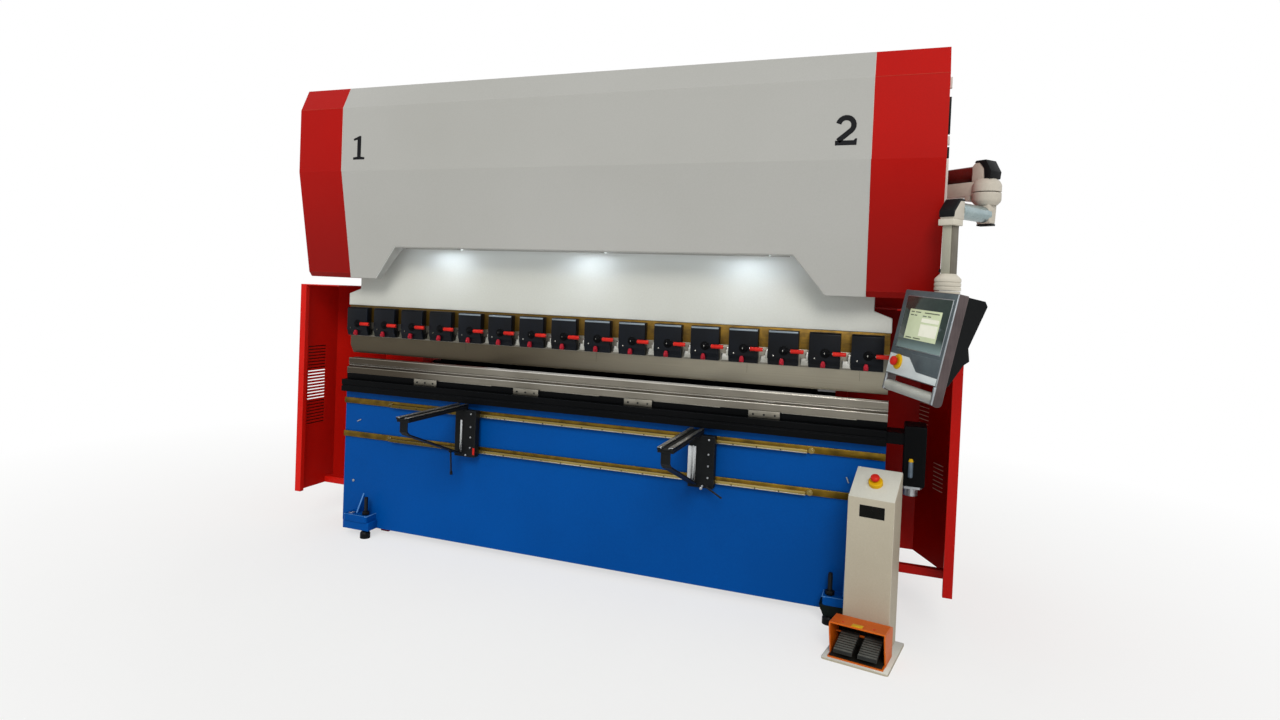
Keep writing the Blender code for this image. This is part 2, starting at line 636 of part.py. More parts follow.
# Oil tank with its pump motor between the frames, behind the cover
tank = box("oil_tank", (-tie_reach, tie_reach), (0.48, 0.92), (TANK_BOTTOM, TANK_TOP), "grey")
soften(tank, 0.012, 2)
MOTOR_RADIUS = 0.095
turned("pump_motor", [
    (0.0, 0.200), (MOTOR_RADIUS - 0.030, 0.200), (MOTOR_RADIUS - 0.004, 0.185), (MOTOR_RADIUS - 0.004, 0.150),
    (MOTOR_RADIUS, 0.148), (MOTOR_RADIUS, 0.030), (MOTOR_RADIUS + 0.020, 0.028), (MOTOR_RADIUS + 0.020, 0.0),
    (0.0, 0.0)], (0.35, 0.70, TANK_TOP + GAP), "blue", sides=24)

# Cylinders bolted to the jaws. Their bores take the piston rods of the ram
CYLINDER_HALF = 0.120
CYLINDER_FRONT = ROD_Y - 0.120
for side, word in SIDES:
    x = side * FRAME_X
    cylinder = box(
        "cylinder_" + word, (x - CYLINDER_HALF, x + CYLINDER_HALF), (CYLINDER_FRONT, JAW_FRONT - GAP),
        (CYLINDER_BOTTOM, CYLINDER_TOP), "black")
    soften(cylinder, 0.008, 2)
    well = round_bar(
        "cylinder_bore_" + word, (x, ROD_Y, CYLINDER_BOTTOM - 0.01), "Z", 0.310, ROD_RADIUS + ROD_PLAY, sides=24)
    cut(cylinder, well)

# Ram plate with stepped shoulders and the two piston rods
SHOULDER_IN = 0.085
SHOULDER_LOW = RAM_BOTTOM + 0.071
SHOULDER_TOP = RAM_BOTTOM + 0.103
ram = plate("ram_plate", [
    (-SINK, RAM_BOTTOM), (HALF, RAM_BOTTOM), (HALF, SHOULDER_LOW), (HALF - SHOULDER_IN, SHOULDER_TOP),
    (HALF - SHOULDER_IN, RAM_TOP), (-SINK, RAM_TOP)], "XZ", (RAM_FRONT, RAM_BACK), "pale")
soften(ram, 0.002)
rod_length = CYLINDER_BOTTOM + 0.090 - RAM_TOP
join(ram, round_bar("piston_rod", (FRAME_X, ROD_Y, RAM_TOP - SINK), "Z", rod_length + SINK, ROD_RADIUS, sides=24))
mirror(ram)

# Clamp row: one steel strip with sixteen quick clamps, each with jaw, red lever and release knob
ROW_HALF = HALF - 0.005
CLAMP_SPACE = 0.060
CLAMP_HALF = (CLAMP_PITCH - CLAMP_SPACE) / 2
CLAMP_BACK = -0.045
CLAMP_FRONT = -0.092
CLAMP_LOW = PUNCH_TOP + 0.005
CLAMP_TOP = RAM_BOTTOM - 0.028
CLAMP_CHAMFER = 0.012
CLAMP_UNDERCUT = 0.014
LEVER_Z = PUNCH_TOP + 0.079
LEVER_HALF = 0.009
KNOB_Z = PUNCH_TOP + 0.023
KNOB_SHIFT = -0.008
first_clamp = -HALF + CLAMP_PITCH / 2
lever_reach = first_clamp + CLAMP_PITCH / 2
clamp_row = box(
    "clamp_row", (-ROW_HALF, ROW_HALF), (CLAMP_BACK, RAM_BACK), (PUNCH_TOP + GAP, RAM_BOTTOM - GAP), "black")
jaw = plate("clamp_jaw", [
    (CLAMP_BACK + SINK, CLAMP_LOW), (CLAMP_BACK + SINK, CLAMP_TOP), (CLAMP_FRONT + CLAMP_CHAMFER, CLAMP_TOP),
    (CLAMP_FRONT, CLAMP_TOP - CLAMP_CHAMFER), (CLAMP_FRONT, CLAMP_LOW + 0.034),
    (CLAMP_FRONT + CLAMP_UNDERCUT, CLAMP_LOW + CLAMP_UNDERCUT), (CLAMP_FRONT + CLAMP_UNDERCUT, CLAMP_LOW)],
    "YZ", (first_clamp - CLAMP_HALF, first_clamp + CLAMP_HALF))
boss = round_bar("lever_boss", (first_clamp, CLAMP_FRONT - 0.028, LEVER_Z), "Y", 0.030, 0.014, sides=12, tip=0.017)
lever = plate("clamp_lever", rounded([
    (first_clamp - 0.014, LEVER_Z - LEVER_HALF, 0.006), (lever_reach, LEVER_Z - LEVER_HALF, 0.006),
    (lever_reach, LEVER_Z + LEVER_HALF, 0.006), (first_clamp - 0.014, LEVER_Z + LEVER_HALF, 0.006)], 2),
    "XZ", (CLAMP_FRONT - 0.036, CLAMP_FRONT - 0.022))
knob = round_bar(
    "release_knob", (first_clamp + KNOB_SHIFT, CLAMP_FRONT - 0.018, KNOB_Z), "Y", 0.036, 0.010, sides=10,
    tip=0.012)
for piece, along in ((jaw, 2), (boss, 0), (lever, 0), (knob, 0)):
    row(piece, CLAMP_COUNT, CLAMP_PITCH, along)
    join(clamp_row, piece)

# Punch: tang in the clamps, shoulder, blade and narrow tip
TIP_HALF = 0.0015
plate("punch", [
    (-0.030, PUNCH_TOP), (-0.030, PUNCH_TIP + 0.056), (-0.014, PUNCH_TIP + 0.034), (-TIP_HALF, PUNCH_TIP),
    (TIP_HALF, PUNCH_TIP), (0.014, PUNCH_TIP + 0.034), (0.014, PUNCH_TOP - 0.044), (0.026, PUNCH_TOP - 0.030),
    (0.026, PUNCH_TOP)], "YZ", (-ROW_HALF, ROW_HALF), "steel")

# Back gauge: rails on the frames, a beam on two slides, a finger on each side
GAUGE_RAIL_TOP = DIE_TOP - 0.092
GAUGE_RAIL_HEIGHT = 0.030
GAUGE_RAIL_DEPTH = 0.035
GAUGE_BEAM = (0.420, 0.500)
GAUGE_SLIDE = (0.480, 0.650)
FINGER_X = 0.620
for side, word in SIDES:
    box("gauge_rail_" + word, span_on(side, FRAME_INNER - GAUGE_RAIL_DEPTH, FRAME_INNER - GAP),
        (THROAT_BACK - 0.075, FRAME_REAR - 0.02), (GAUGE_RAIL_TOP - GAUGE_RAIL_HEIGHT, GAUGE_RAIL_TOP), "steel")
beam_reach = FRAME_INNER - GAUGE_RAIL_DEPTH - 0.065
beam = box("back_gauge", (-SINK, beam_reach), GAUGE_BEAM, (DIE_TOP - 0.117, DIE_TOP + 0.013), "black")
soften(beam, 0.004)
slide = box(
    "gauge_slide", (beam_reach - 0.030, FRAME_INNER - 0.006), GAUGE_SLIDE,
    (GAUGE_RAIL_TOP + SEAT, GAUGE_RAIL_TOP + 0.060))
finger = plate("gauge_finger", [
    (GAUGE_BEAM[0] - 0.220, DIE_TOP + 0.003), (GAUGE_BEAM[0] + 0.060, DIE_TOP + 0.003),
    (GAUGE_BEAM[0] + 0.060, DIE_TOP + 0.053), (GAUGE_BEAM[0] - 0.120, DIE_TOP + 0.053),
    (GAUGE_BEAM[0] - 0.220, DIE_TOP + 0.028)], "YZ", (FINGER_X - 0.030, FINGER_X + 0.030))
join(beam, slide, finger)
mirror(beam)

# Side guards: front post, louvred side, wall turned in to the frame, cap and cross bar
LOUVRE_Y = (-0.050, 0.112)
CAP_INNER = HALF + 0.020
POST_WIDTH = 0.042
POST_DEPTH = 0.030
BAR_Y = (0.140, 0.180)
guard_seat = FRAME_OUTER + GAP
guard_path = [
    (GUARD_X, GUARD_FRONT), (GUARD_X, GUARD_KINK), (GUARD_X - GUARD_TURN_IN, GUARD_REAR), (guard_seat, GUARD_REAR)]
cap_path = guard_path + [(guard_seat, TABLE_HALF_DEPTH), (CAP_INNER, TABLE_HALF_DEPTH), (CAP_INNER, GUARD_FRONT)]
for side, word in SIDES:
    path = [(side * u, v) for u, v in guard_path]
    guard = folded("side_guard_" + word, path, "XY", (GUARD_LOW, GUARD_TOP), GUARD_SHEET, "red", side=side)
    slots = box(
        "louvres_" + word, span_on(side, GUARD_X - 0.02, GUARD_X + 0.02), LOUVRE_Y,
        (LOUVRE_LOW, LOUVRE_LOW + LOUVRE_HEIGHT))
    row(slots, LOUVRE_COUNT, LOUVRE_PITCH, axis=2)
    cut(guard, slots)
    post = box(
        "guard_post_" + word, span_on(side, GUARD_X - POST_WIDTH, GUARD_X), (GUARD_FRONT, GUARD_FRONT + POST_DEPTH),
        (GUARD_LOW, GUARD_TOP))
    cap = plate(
        "guard_cap_" + word, [(side * u, v) for u, v in cap_path], "XY", (GUARD_TOP - GUARD_SHEET, GUARD_TOP))
    bar = box(
        "guard_bar_" + word, span_on(side, guard_seat, GUARD_X - GUARD_SHEET / 2), BAR_Y,
        (GUARD_LOW, GUARD_LOW + 0.040))
    join(guard, post, cap, bar)

# Crowning drive at the right end of the table, on its bracket
DRIVE_X = (HALF + 0.077, HALF + 0.177)
DRIVE_Y = (-0.100, 0.080)
DRIVE_LOW = BED_TOP - 0.177
drive = box("crowning_drive", DRIVE_X, DRIVE_Y, (DRIVE_LOW, BED_TOP + 0.109), "black")
soften(drive, 0.008, 2)
link = box("drive_link", (HALF + GAP, DRIVE_X[0] + 0.01), (-0.090, 0.070), (BED_TOP + 0.016, TABLE_TOP - 0.005))
join(drive, link)
SHELF_X = (DRIVE_X[0] - 0.010, DRIVE_X[1] - 0.010)
SHELF_Y = (DRIVE_Y[0] + 0.010, DRIVE_Y[1] - 0.020)
SHELF_CORNER = 0.020
SHELF_THICK = 0.012
DISC_DROP = 0.055
DISC_RADIUS = 0.033
shelf = plate("drive_bracket", rounded([
    (SHELF_X[0], SHELF_Y[0], SHELF_CORNER), (SHELF_X[1], SHELF_Y[0], SHELF_CORNER),
    (SHELF_X[1], SHELF_Y[1], SHELF_CORNER), (SHELF_X[0], SHELF_Y[1], SHELF_CORNER)], 3),
    "XY", (DRIVE_LOW - GAP - SHELF_THICK, DRIVE_LOW - GAP), "steel")
disc = round_bar(
    "bracket_disc", (sum(SHELF_X) / 2, -0.020, DRIVE_LOW - DISC_DROP), "Z", DISC_DROP - SHELF_THICK / 2, DISC_RADIUS,
    sides=20)
join(shelf, disc)

# Pendant arm: double beam on the end cover, drum joint, link to the pole
beam_vector = DRUM - Vector((COVER_END_X, BEAM_ROOT_Y))
beam_guide = guide(
    "beam_root", (COVER_END_X, BEAM_ROOT_Y, 0.0), (0.0, 0.0, math.atan2(beam_vector.y, beam_vector.x)))
beam_guide.parent = MACHINE
BEAM_LENGTH = beam_vector.length
BEAM_BOX_HALF = 0.032
TUBE_RADIUS = 0.032
BOX_LOW = DRUM_SPLIT - 0.010
BOX_TOP = DRUM_SPLIT + 0.048
TUBE_Z = DRUM_SPLIT + 0.090
flange = box(
    "arm_beam", (COVER_END_X + GAP, COVER_END_X + 0.012), (BEAM_ROOT_Y - 0.085, BEAM_ROOT_Y + 0.085),
    (DRUM_SPLIT - 0.045, DRUM_SPLIT + 0.150), "cream")
lower_box = box(
    "beam_box", (0.030, BEAM_LENGTH), (-BEAM_BOX_HALF, BEAM_BOX_HALF), (BOX_LOW, BOX_TOP), None, beam_guide)
root_box = box(
    "beam_root_box", (COVER_END_X + 0.008, COVER_END_X + 0.060), (BEAM_ROOT_Y - 0.070, BEAM_ROOT_Y + 0.050),
    (BOX_LOW, DRUM_SPLIT + 0.118))
upper_tube = round_bar("beam_tube", (0.030, 0.0, TUBE_Z), "X", BEAM_LENGTH - 0.050, TUBE_RADIUS, None, beam_guide)
elbow = plate("beam_elbow", [
    (BEAM_LENGTH - 0.062, DRUM_SPLIT + 0.040), (BEAM_LENGTH + 0.044, DRUM_SPLIT + 0.040),
    (BEAM_LENGTH + 0.044, DRUM_SPLIT + 0.085), (BEAM_LENGTH + 0.012, DRUM_SPLIT + 0.134),
    (BEAM_LENGTH - 0.045, DRUM_SPLIT + 0.134), (BEAM_LENGTH - 0.062, DRUM_SPLIT + 0.118)],
    "XZ", (-0.036, 0.036), None, beam_guide)
soften(elbow, 0.008, 2)
upper_drum = turned("beam_drum", [
    (0.0, DRUM_SPLIT + 0.052), (DRUM_RADIUS - 0.018, DRUM_SPLIT + 0.052), (DRUM_RADIUS, DRUM_SPLIT + 0.036),
    (DRUM_RADIUS, DRUM_SPLIT + GAP), (0.0, DRUM_SPLIT + GAP)], (DRUM.x, DRUM.y, 0.0), sides=24)
join(flange, root_box, lower_box, upper_tube, elbow, upper_drum)
under_drum = round_bar(
    "drum_room", (DRUM.x, DRUM.y, DRUM_SPLIT - 0.080), "Z", 0.080 + GAP, DRUM_RADIUS + 0.012, sides=24)
cut(flange, under_drum)

link_vector = POLE - DRUM
arm_axis = guide("arm_axis", (DRUM.x, DRUM.y, 0.0), (0.0, 0.0, math.atan2(link_vector.y, link_vector.x)))
arm_axis.parent = MACHINE
LINK_LENGTH = link_vector.length
LINK_RADIUS = 0.029
LINK_DRUM_Z = DRUM_SPLIT - 0.114
LINK_POLE_Z = POLE_TOP + 0.026
pole = turned("arm_pole", [
    (0.0, DRUM_SPLIT - GAP), (DRUM_RADIUS, DRUM_SPLIT - GAP), (DRUM_RADIUS, DRUM_SPLIT - 0.036),
    (DRUM_RADIUS - 0.020, DRUM_SPLIT - 0.056), (0.0, DRUM_SPLIT - 0.056)], (0.0, 0.0, 0.0), "cream", arm_axis, 24)
fitting = plate("link_fitting", [
    (-0.034, DRUM_SPLIT - 0.050), (-0.030, DRUM_SPLIT - 0.146), (0.030, DRUM_SPLIT - 0.146),
    (0.036, DRUM_SPLIT - 0.085), (0.036, DRUM_SPLIT - 0.050)], "XZ", (-0.032, 0.032), None, arm_axis)
soften(fitting, 0.006)
link_tube = bent_bar("link_tube", [
    (0.010, 0.0, LINK_DRUM_Z), (LINK_LENGTH - 0.020, 0.0, LINK_POLE_Z)], LINK_RADIUS, None, arm_axis)
lower_elbow = plate("pole_elbow", [
    (LINK_LENGTH - 0.052, POLE_TOP - 0.010), (LINK_LENGTH + 0.036, POLE_TOP - 0.010),
    (LINK_LENGTH + 0.036, POLE_TOP + 0.034), (LINK_LENGTH - 0.012, POLE_TOP + 0.082),
    (LINK_LENGTH - 0.052, POLE_TOP + 0.082)], "XZ", (-0.034, 0.034), None, arm_axis)
soften(lower_elbow, 0.005)
collar = box(
    "pole_collar", (LINK_LENGTH - 0.038, LINK_LENGTH + 0.038), (-0.036, 0.036), (POLE_TOP - 0.034, POLE_TOP - 0.008),
    None, arm_axis)
CONE_TOP = SWIVEL_BOTTOM + 0.074
tube_low = CONE_TOP - 0.004
pole_tube = box(
    "pole_tube", (LINK_LENGTH - 0.030, LINK_LENGTH + 0.026), (-POLE_WIDTH / 2, POLE_WIDTH / 2),
    (tube_low, POLE_TOP - 0.030), None, arm_axis)
soften(pole_tube, 0.005, 2)
swivel = turned("pole_swivel", [
    (0.0, CONE_TOP), (0.034, CONE_TOP), (0.054, SWIVEL_BOTTOM + 0.054), (0.054, SWIVEL_BOTTOM + 0.038),
    (0.051, SWIVEL_BOTTOM + 0.036), (0.051, SWIVEL_BOTTOM + 0.034), (0.054, SWIVEL_BOTTOM + 0.032),
    (0.054, SWIVEL_BOTTOM + 0.020), (0.051, SWIVEL_BOTTOM + 0.018), (0.051, SWIVEL_BOTTOM + GAP),
    (0.0, SWIVEL_BOTTOM + GAP)], (LINK_LENGTH, 0.0, 0.0), None, arm_axis, 24)
clamp_screw = round_bar(
    "swivel_screw", (LINK_LENGTH, -0.050, CONE_TOP + 0.012), "Y", 0.050, 0.007, None, arm_axis, 8)
join(pole, fitting, link_tube, lower_elbow, collar, pole_tube, swivel, clamp_screw)

# Pendant: face frame tilted to the operator, housing behind it, grip bar between its cheeks
pendant_axis = guide("pendant_axis", (POLE.x, POLE.y, 0.0), parent=MACHINE)
FACE = (-0.068, -0.140, COVER_TOP - 1.093)
FACE_TURN = (math.radians(-10.76), math.radians(2.48), math.radians(-61.44))
face_guide = guide("pendant_face", FACE, FACE_TURN, pendant_axis, "YXZ")
CHEEK = 0.014
CHEEK_DROP = 0.078
GRIP_RADIUS = 0.024
half_width = PENDANT_WIDTH / 2
case = box(
    "pendant_case", (-half_width, half_width), (0.0, PENDANT_DEPTH), (-PENDANT_HEIGHT, 0.0), "grey", face_guide)
soften(case, 0.004, 2)
cheek_outline = rounded([
    (0.001, -PENDANT_HEIGHT + 0.020, 0), (PENDANT_DEPTH - 0.001, -PENDANT_HEIGHT + 0.020, 0),
    (PENDANT_DEPTH - 0.001, -PENDANT_HEIGHT - CHEEK_DROP, 0.018), (0.001, -PENDANT_HEIGHT - CHEEK_DROP, 0.018)], 3)
for side, word in SIDES:
    cheek = plate(
        "pendant_cheek_" + word, cheek_outline, "YZ", span_on(side, half_width - CHEEK, half_width - 0.001), None,
        face_guide)
    join(case, cheek)
grip_z = -PENDANT_HEIGHT - CHEEK_DROP + GRIP_RADIUS + 0.004
turned("pendant_grip", [
    (0.0, half_width - CHEEK - GAP), (GRIP_RADIUS, half_width - CHEEK - GAP),
    (GRIP_RADIUS, -half_width + CHEEK + GAP), (0.0, -half_width + CHEEK + GAP)],
    (0.0, GRIP_RADIUS - 0.002, grip_z), "aluminium", face_guide, 20).rotation_euler = TURN_TO["X"]
REAR_HALF = half_width - 0.012
HOUSING_BACK = 0.138
HOUSING_WAIST = HOUSING_BACK - 0.036
HOUSING_LOW = -PENDANT_HEIGHT + 0.012
housing = plate("pendant_housing", [
    (PENDANT_DEPTH + GAP, -0.004), (HOUSING_BACK - 0.014, -0.004), (HOUSING_BACK, -0.022), (HOUSING_WAIST, -0.200),
    (HOUSING_WAIST + 0.018, -0.250), (HOUSING_WAIST - 0.002, -0.270), (PENDANT_DEPTH + 0.012, HOUSING_LOW),
    (PENDANT_DEPTH + GAP, HOUSING_LOW)], "YZ", (-REAR_HALF, REAR_HALF), "black", face_guide)
NECK_LENGTH = 0.050
neck = round_bar(
    "pendant_neck", (0.0, 0.0, SWIVEL_BOTTOM - GAP - NECK_LENGTH), "Z", NECK_LENGTH, 0.036, None, pendant_axis, 24)
join(housing, neck)

# Stop buttons: a yellow base with a bore, and a red mushroom head on a stem
STEM_RADIUS = 0.008
HEAD_RADIUS = 0.021
BASE_RADIUS = 0.032
BASE_HEIGHT = 0.022
PRESS = 0.003
STEM_LOW = 0.010
BORE_FLOOR = STEM_LOW - PRESS - 0.002
head_profile = [
    (0.0, BASE_HEIGHT + 0.030), (HEAD_RADIUS - 0.010, BASE_HEIGHT + 0.029),
    (HEAD_RADIUS - 0.002, BASE_HEIGHT + 0.024), (HEAD_RADIUS, BASE_HEIGHT + 0.018),
    (HEAD_RADIUS - 0.002, BASE_HEIGHT + 0.010), (STEM_RADIUS, BASE_HEIGHT + 0.010),
    (STEM_RADIUS, STEM_LOW), (0.0, STEM_LOW)]
base_profile = [
    (STEM_RADIUS + PIN_PLAY, BASE_HEIGHT), (BASE_RADIUS - 0.003, BASE_HEIGHT), (BASE_RADIUS, BASE_HEIGHT - 0.003),
    (BASE_RADIUS, GAP), (0.0, GAP), (0.0, BORE_FLOOR), (STEM_RADIUS + PIN_PLAY, BORE_FLOOR),
    (STEM_RADIUS + PIN_PLAY, BASE_HEIGHT)]

# Pedestal: foot plate, sheet column with a sloping top, window and stop button
pedestal_guide = guide("pedestal_place", (*PEDESTAL, 0.0), (0.0, 0.0, PEDESTAL_TURN), MACHINE)
FOOT_SHEET = 0.008
STAND_HALF = 0.142
STAND_FRONT = -0.280
STAND_BACK = 0.087
STAND_CORNER = 0.012
pedestal = plate("pedestal", rounded([
    (-STAND_HALF, STAND_FRONT, STAND_CORNER), (STAND_HALF, STAND_FRONT, STAND_CORNER),
    (STAND_HALF, STAND_BACK, STAND_CORNER), (-STAND_HALF, STAND_BACK, STAND_CORNER)], 3),
    "XY", (0.0, FOOT_SHEET), "cream", pedestal_guide)
column = plate("pedestal_column", [
    (-COLUMN_HALF_DEPTH, FOOT_SHEET - SINK), (COLUMN_HALF_DEPTH, FOOT_SHEET - SINK),
    (COLUMN_HALF_DEPTH, COLUMN_BACK_TOP), (-COLUMN_HALF_DEPTH, COLUMN_FRONT_TOP)],
    "YZ", (-COLUMN_HALF_WIDTH, COLUMN_HALF_WIDTH), None, pedestal_guide)
soften(column, 0.004, 2)
join(pedestal, column)
WINDOW_RECESS = 0.006
window_x = (-0.050, 0.060)
window_z = (COLUMN_FRONT_TOP - 0.085, COLUMN_FRONT_TOP - 0.030)
recess = box(
    "window_recess", (window_x[0] - GAP, window_x[1] + GAP),
    (-COLUMN_HALF_DEPTH - WINDOW_RECESS, -COLUMN_HALF_DEPTH + WINDOW_RECESS),
    (window_z[0] - GAP, window_z[1] + GAP), None, pedestal_guide)
cut(pedestal, recess)
box("pedestal_window", window_x, (-COLUMN_HALF_DEPTH + 0.002, -COLUMN_HALF_DEPTH + WINDOW_RECESS - GAP), window_z,
    "glass", pedestal_guide)
top_slope = math.atan2(COLUMN_BACK_TOP - COLUMN_FRONT_TOP, 2 * COLUMN_HALF_DEPTH)
stop_guide = guide(
    "stop_axis", (0.0, 0.0, (COLUMN_BACK_TOP + COLUMN_FRONT_TOP) / 2), (top_slope, 0.0, 0.0), pedestal_guide)
turned("stop_base", base_profile, (0.0, 0.0, 0.0), "yellow", stop_guide)
turned("stop_button", head_profile, (0.0, 0.0, 0.0), "red", stop_guide)

# Stop button of the pendant, its yellow base fused with the case
STOP_PLACE = (-0.118, 0.0, -0.320)
pendant_stop_guide = guide("pendant_stop_axis", STOP_PLACE, (math.pi / 2, 0.0, 0.0), face_guide)
join(case, turned("pendant_stop_ring", [
    (0.0, 0.010), (BASE_RADIUS - 0.004, 0.010), (BASE_RADIUS, 0.006), (BASE_RADIUS, -SINK), (0.0, -SINK)],
    (0.0, 0.0, 0.0), None, pendant_stop_guide))
cut(case, round_bar(
    "pendant_stop_bore", (0.0, 0.0, -0.020), "Z", 0.060, STEM_RADIUS + PIN_PLAY, None, pendant_stop_guide, 20))
turned("pendant_stop", [
    (0.0, 0.036), (HEAD_RADIUS - 0.009, 0.035), (HEAD_RADIUS - 0.002, 0.030), (HEAD_RADIUS, 0.024),
    (HEAD_RADIUS - 0.002, 0.016), (STEM_RADIUS, 0.016), (STEM_RADIUS, -0.014), (0.0, -0.014)],
    (0.0, 0.0, 0.0), "red", pendant_stop_guide)

# Foot switch: hood of folded sheet over two pedals that turn on one pin
HOOD_HALF = 0.120
HOOD_SHEET = 0.006
HOOD_BACK = -COLUMN_HALF_DEPTH - 0.007
HOOD_CREST = (-0.130, 0.150)
HOOD_LIP = (-0.252, 0.156)
HOOD_BACK_TOP = 0.134
TRAY_FRONT = -0.262
CHEEK_FRONT = -0.215
hood_low = FOOT_SHEET + GAP
tray_z = hood_low + HOOD_SHEET
cheek_low = hood_low + 0.001
hood_path = [HOOD_LIP, HOOD_CREST, (HOOD_BACK, HOOD_BACK_TOP), (HOOD_BACK, tray_z), (TRAY_FRONT, tray_z)]
hood = folded(
    "pedal_guard", hood_path, "YZ", (-HOOD_HALF + SINK, HOOD_HALF - SINK), HOOD_SHEET, "orange", pedestal_guide)
for side, word in SIDES:
    join(hood, plate("hood_cheek_" + word, [
        (CHEEK_FRONT, cheek_low), (HOOD_BACK - 0.001, cheek_low), (HOOD_BACK - 0.001, HOOD_BACK_TOP), HOOD_CREST,
        (HOOD_LIP[0] + 0.001, HOOD_LIP[1]), (HOOD_LIP[0] + 0.001, HOOD_LIP[1] - 0.020)],
        "YZ", span_on(side, HOOD_HALF - HOOD_SHEET, HOOD_HALF), None, pedestal_guide))
pin_start = (-HOOD_HALF + SINK, *PEDAL_PIN)
join(hood, round_bar(
    "pedal_pin", pin_start, "X", 2 * (HOOD_HALF - SINK), PEDAL_PIN_RADIUS, None, pedestal_guide, 12))
PEDAL_X = 0.052
PEDAL_HALF = 0.040
PEDAL_REACH = 0.142
HUB_RADIUS = 0.011
for side, word in SIDES:
    pin_guide = guide("pedal_axis_" + word, (side * PEDAL_X, *PEDAL_PIN), parent=pedestal_guide)
    pedal = plate("pedal_" + word, [
        (-PEDAL_REACH, -0.040), (0.0, -0.006), (0.0, 0.006), (-PEDAL_REACH + 0.004, -0.027)],
        "YZ", (-PEDAL_HALF, PEDAL_HALF), "black", pin_guide)
    hub = round_bar(
        "pedal_hub_" + word, (-PEDAL_HALF, 0.0, 0.0), "X", 2 * PEDAL_HALF, HUB_RADIUS, None, pin_guide, 12)
    bore = round_bar(
        "pedal_bore_" + word, (-PEDAL_HALF - 0.01, 0.0, 0.0), "X", 2 * PEDAL_HALF + 0.02,
        PEDAL_PIN_RADIUS + PIN_PLAY, None, pin_guide, 12)
    join(pedal, hub)
    cut(pedal, bore)

# Electrical cabinet on the right side frame, with a raised door on its outer side
CABINET_X = (guard_seat, COVER_END_X - 0.015)
CABINET_Y = (GUARD_REAR + 0.040, GUARD_REAR + 0.640)
CABINET_Z = (0.350, 1.850)
DOOR_INSET = 0.030
DOOR_THICK = 0.012
cabinet = box("control_cabinet", CABINET_X, CABINET_Y, CABINET_Z, "grey")
soften(cabinet, 0.008, 2)
door = box(
    "cabinet_door", (CABINET_X[1] - SINK, CABINET_X[1] + DOOR_THICK),
    (CABINET_Y[0] + DOOR_INSET, CABINET_Y[1] - DOOR_INSET), (CABINET_Z[0] + DOOR_INSET, CABINET_Z[1] - DOOR_INSET))
join(cabinet, soften(door, 0.003))

# Move the machine so that the middle of its footprint is the origin
bpy.context.view_layer.update()
graph = bpy.context.evaluated_depsgraph_get()
points = []
for obj in PARTS.objects:
    if obj.type == "MESH":
        shape = obj.evaluated_get(graph)
        points += [shape.matrix_world @ vert.co for vert in shape.data.vertices]
low = [min(point[k] for point in points) for k in range(3)]
high = [max(point[k] for point in points) for k in range(3)]
MACHINE.location = (-(low[0] + high[0]) / 2, -(low[1] + high[1]) / 2, -low[2])
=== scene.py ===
import json
import math

import bmesh
import bpy
from mathutils import Euler, Matrix, Vector


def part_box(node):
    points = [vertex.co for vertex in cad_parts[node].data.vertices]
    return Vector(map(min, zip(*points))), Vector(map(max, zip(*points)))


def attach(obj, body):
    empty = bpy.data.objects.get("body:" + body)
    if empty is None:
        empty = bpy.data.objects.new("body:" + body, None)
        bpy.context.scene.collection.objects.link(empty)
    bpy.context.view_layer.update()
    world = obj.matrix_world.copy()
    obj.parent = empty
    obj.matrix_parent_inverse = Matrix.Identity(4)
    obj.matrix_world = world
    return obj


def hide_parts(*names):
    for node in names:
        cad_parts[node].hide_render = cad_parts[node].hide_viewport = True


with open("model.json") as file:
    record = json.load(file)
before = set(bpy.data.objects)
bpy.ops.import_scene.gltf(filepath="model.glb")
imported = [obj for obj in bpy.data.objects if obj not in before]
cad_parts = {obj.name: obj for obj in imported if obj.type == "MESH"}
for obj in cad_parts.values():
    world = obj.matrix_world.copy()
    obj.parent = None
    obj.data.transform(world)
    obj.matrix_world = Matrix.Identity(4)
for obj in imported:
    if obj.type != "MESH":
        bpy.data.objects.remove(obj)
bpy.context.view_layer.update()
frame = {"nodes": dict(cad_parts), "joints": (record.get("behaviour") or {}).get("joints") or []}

# The workshop floor is a pale sealed screed that runs out into white. Broad daylight comes
# from the right front and above, and the rest is even light from all round.


def linear(code):
    """sRGB hex colour as linear RGBA."""
    parts = [int(code[k:k + 2], 16) / 255 for k in (1, 3, 5)]
    return (*[c / 12.92 if c <= 0.04045 else ((c + 0.055) / 1.055) ** 2.4 for c in parts], 1.0)


def node(tree, kind, settings=(), links=()):
    """Add a node, set its properties and sockets, and link other sockets to it."""
    made = tree.nodes.new("ShaderNode" + kind)
    for key, value in dict(settings).items():
        if isinstance(key, str) and hasattr(made, key):
            setattr(made, key, value)
        else:
            made.inputs[key].default_value = value
    for key, source in dict(links).items():
        tree.links.new(made.inputs[key], source.outputs[0] if hasattr(source, "outputs") else source)
    return made


FLOOR_HALF = 60.0
FLOOR_WHITE = 0.60
FADE_START = 2.2
FADE_END = 5.5
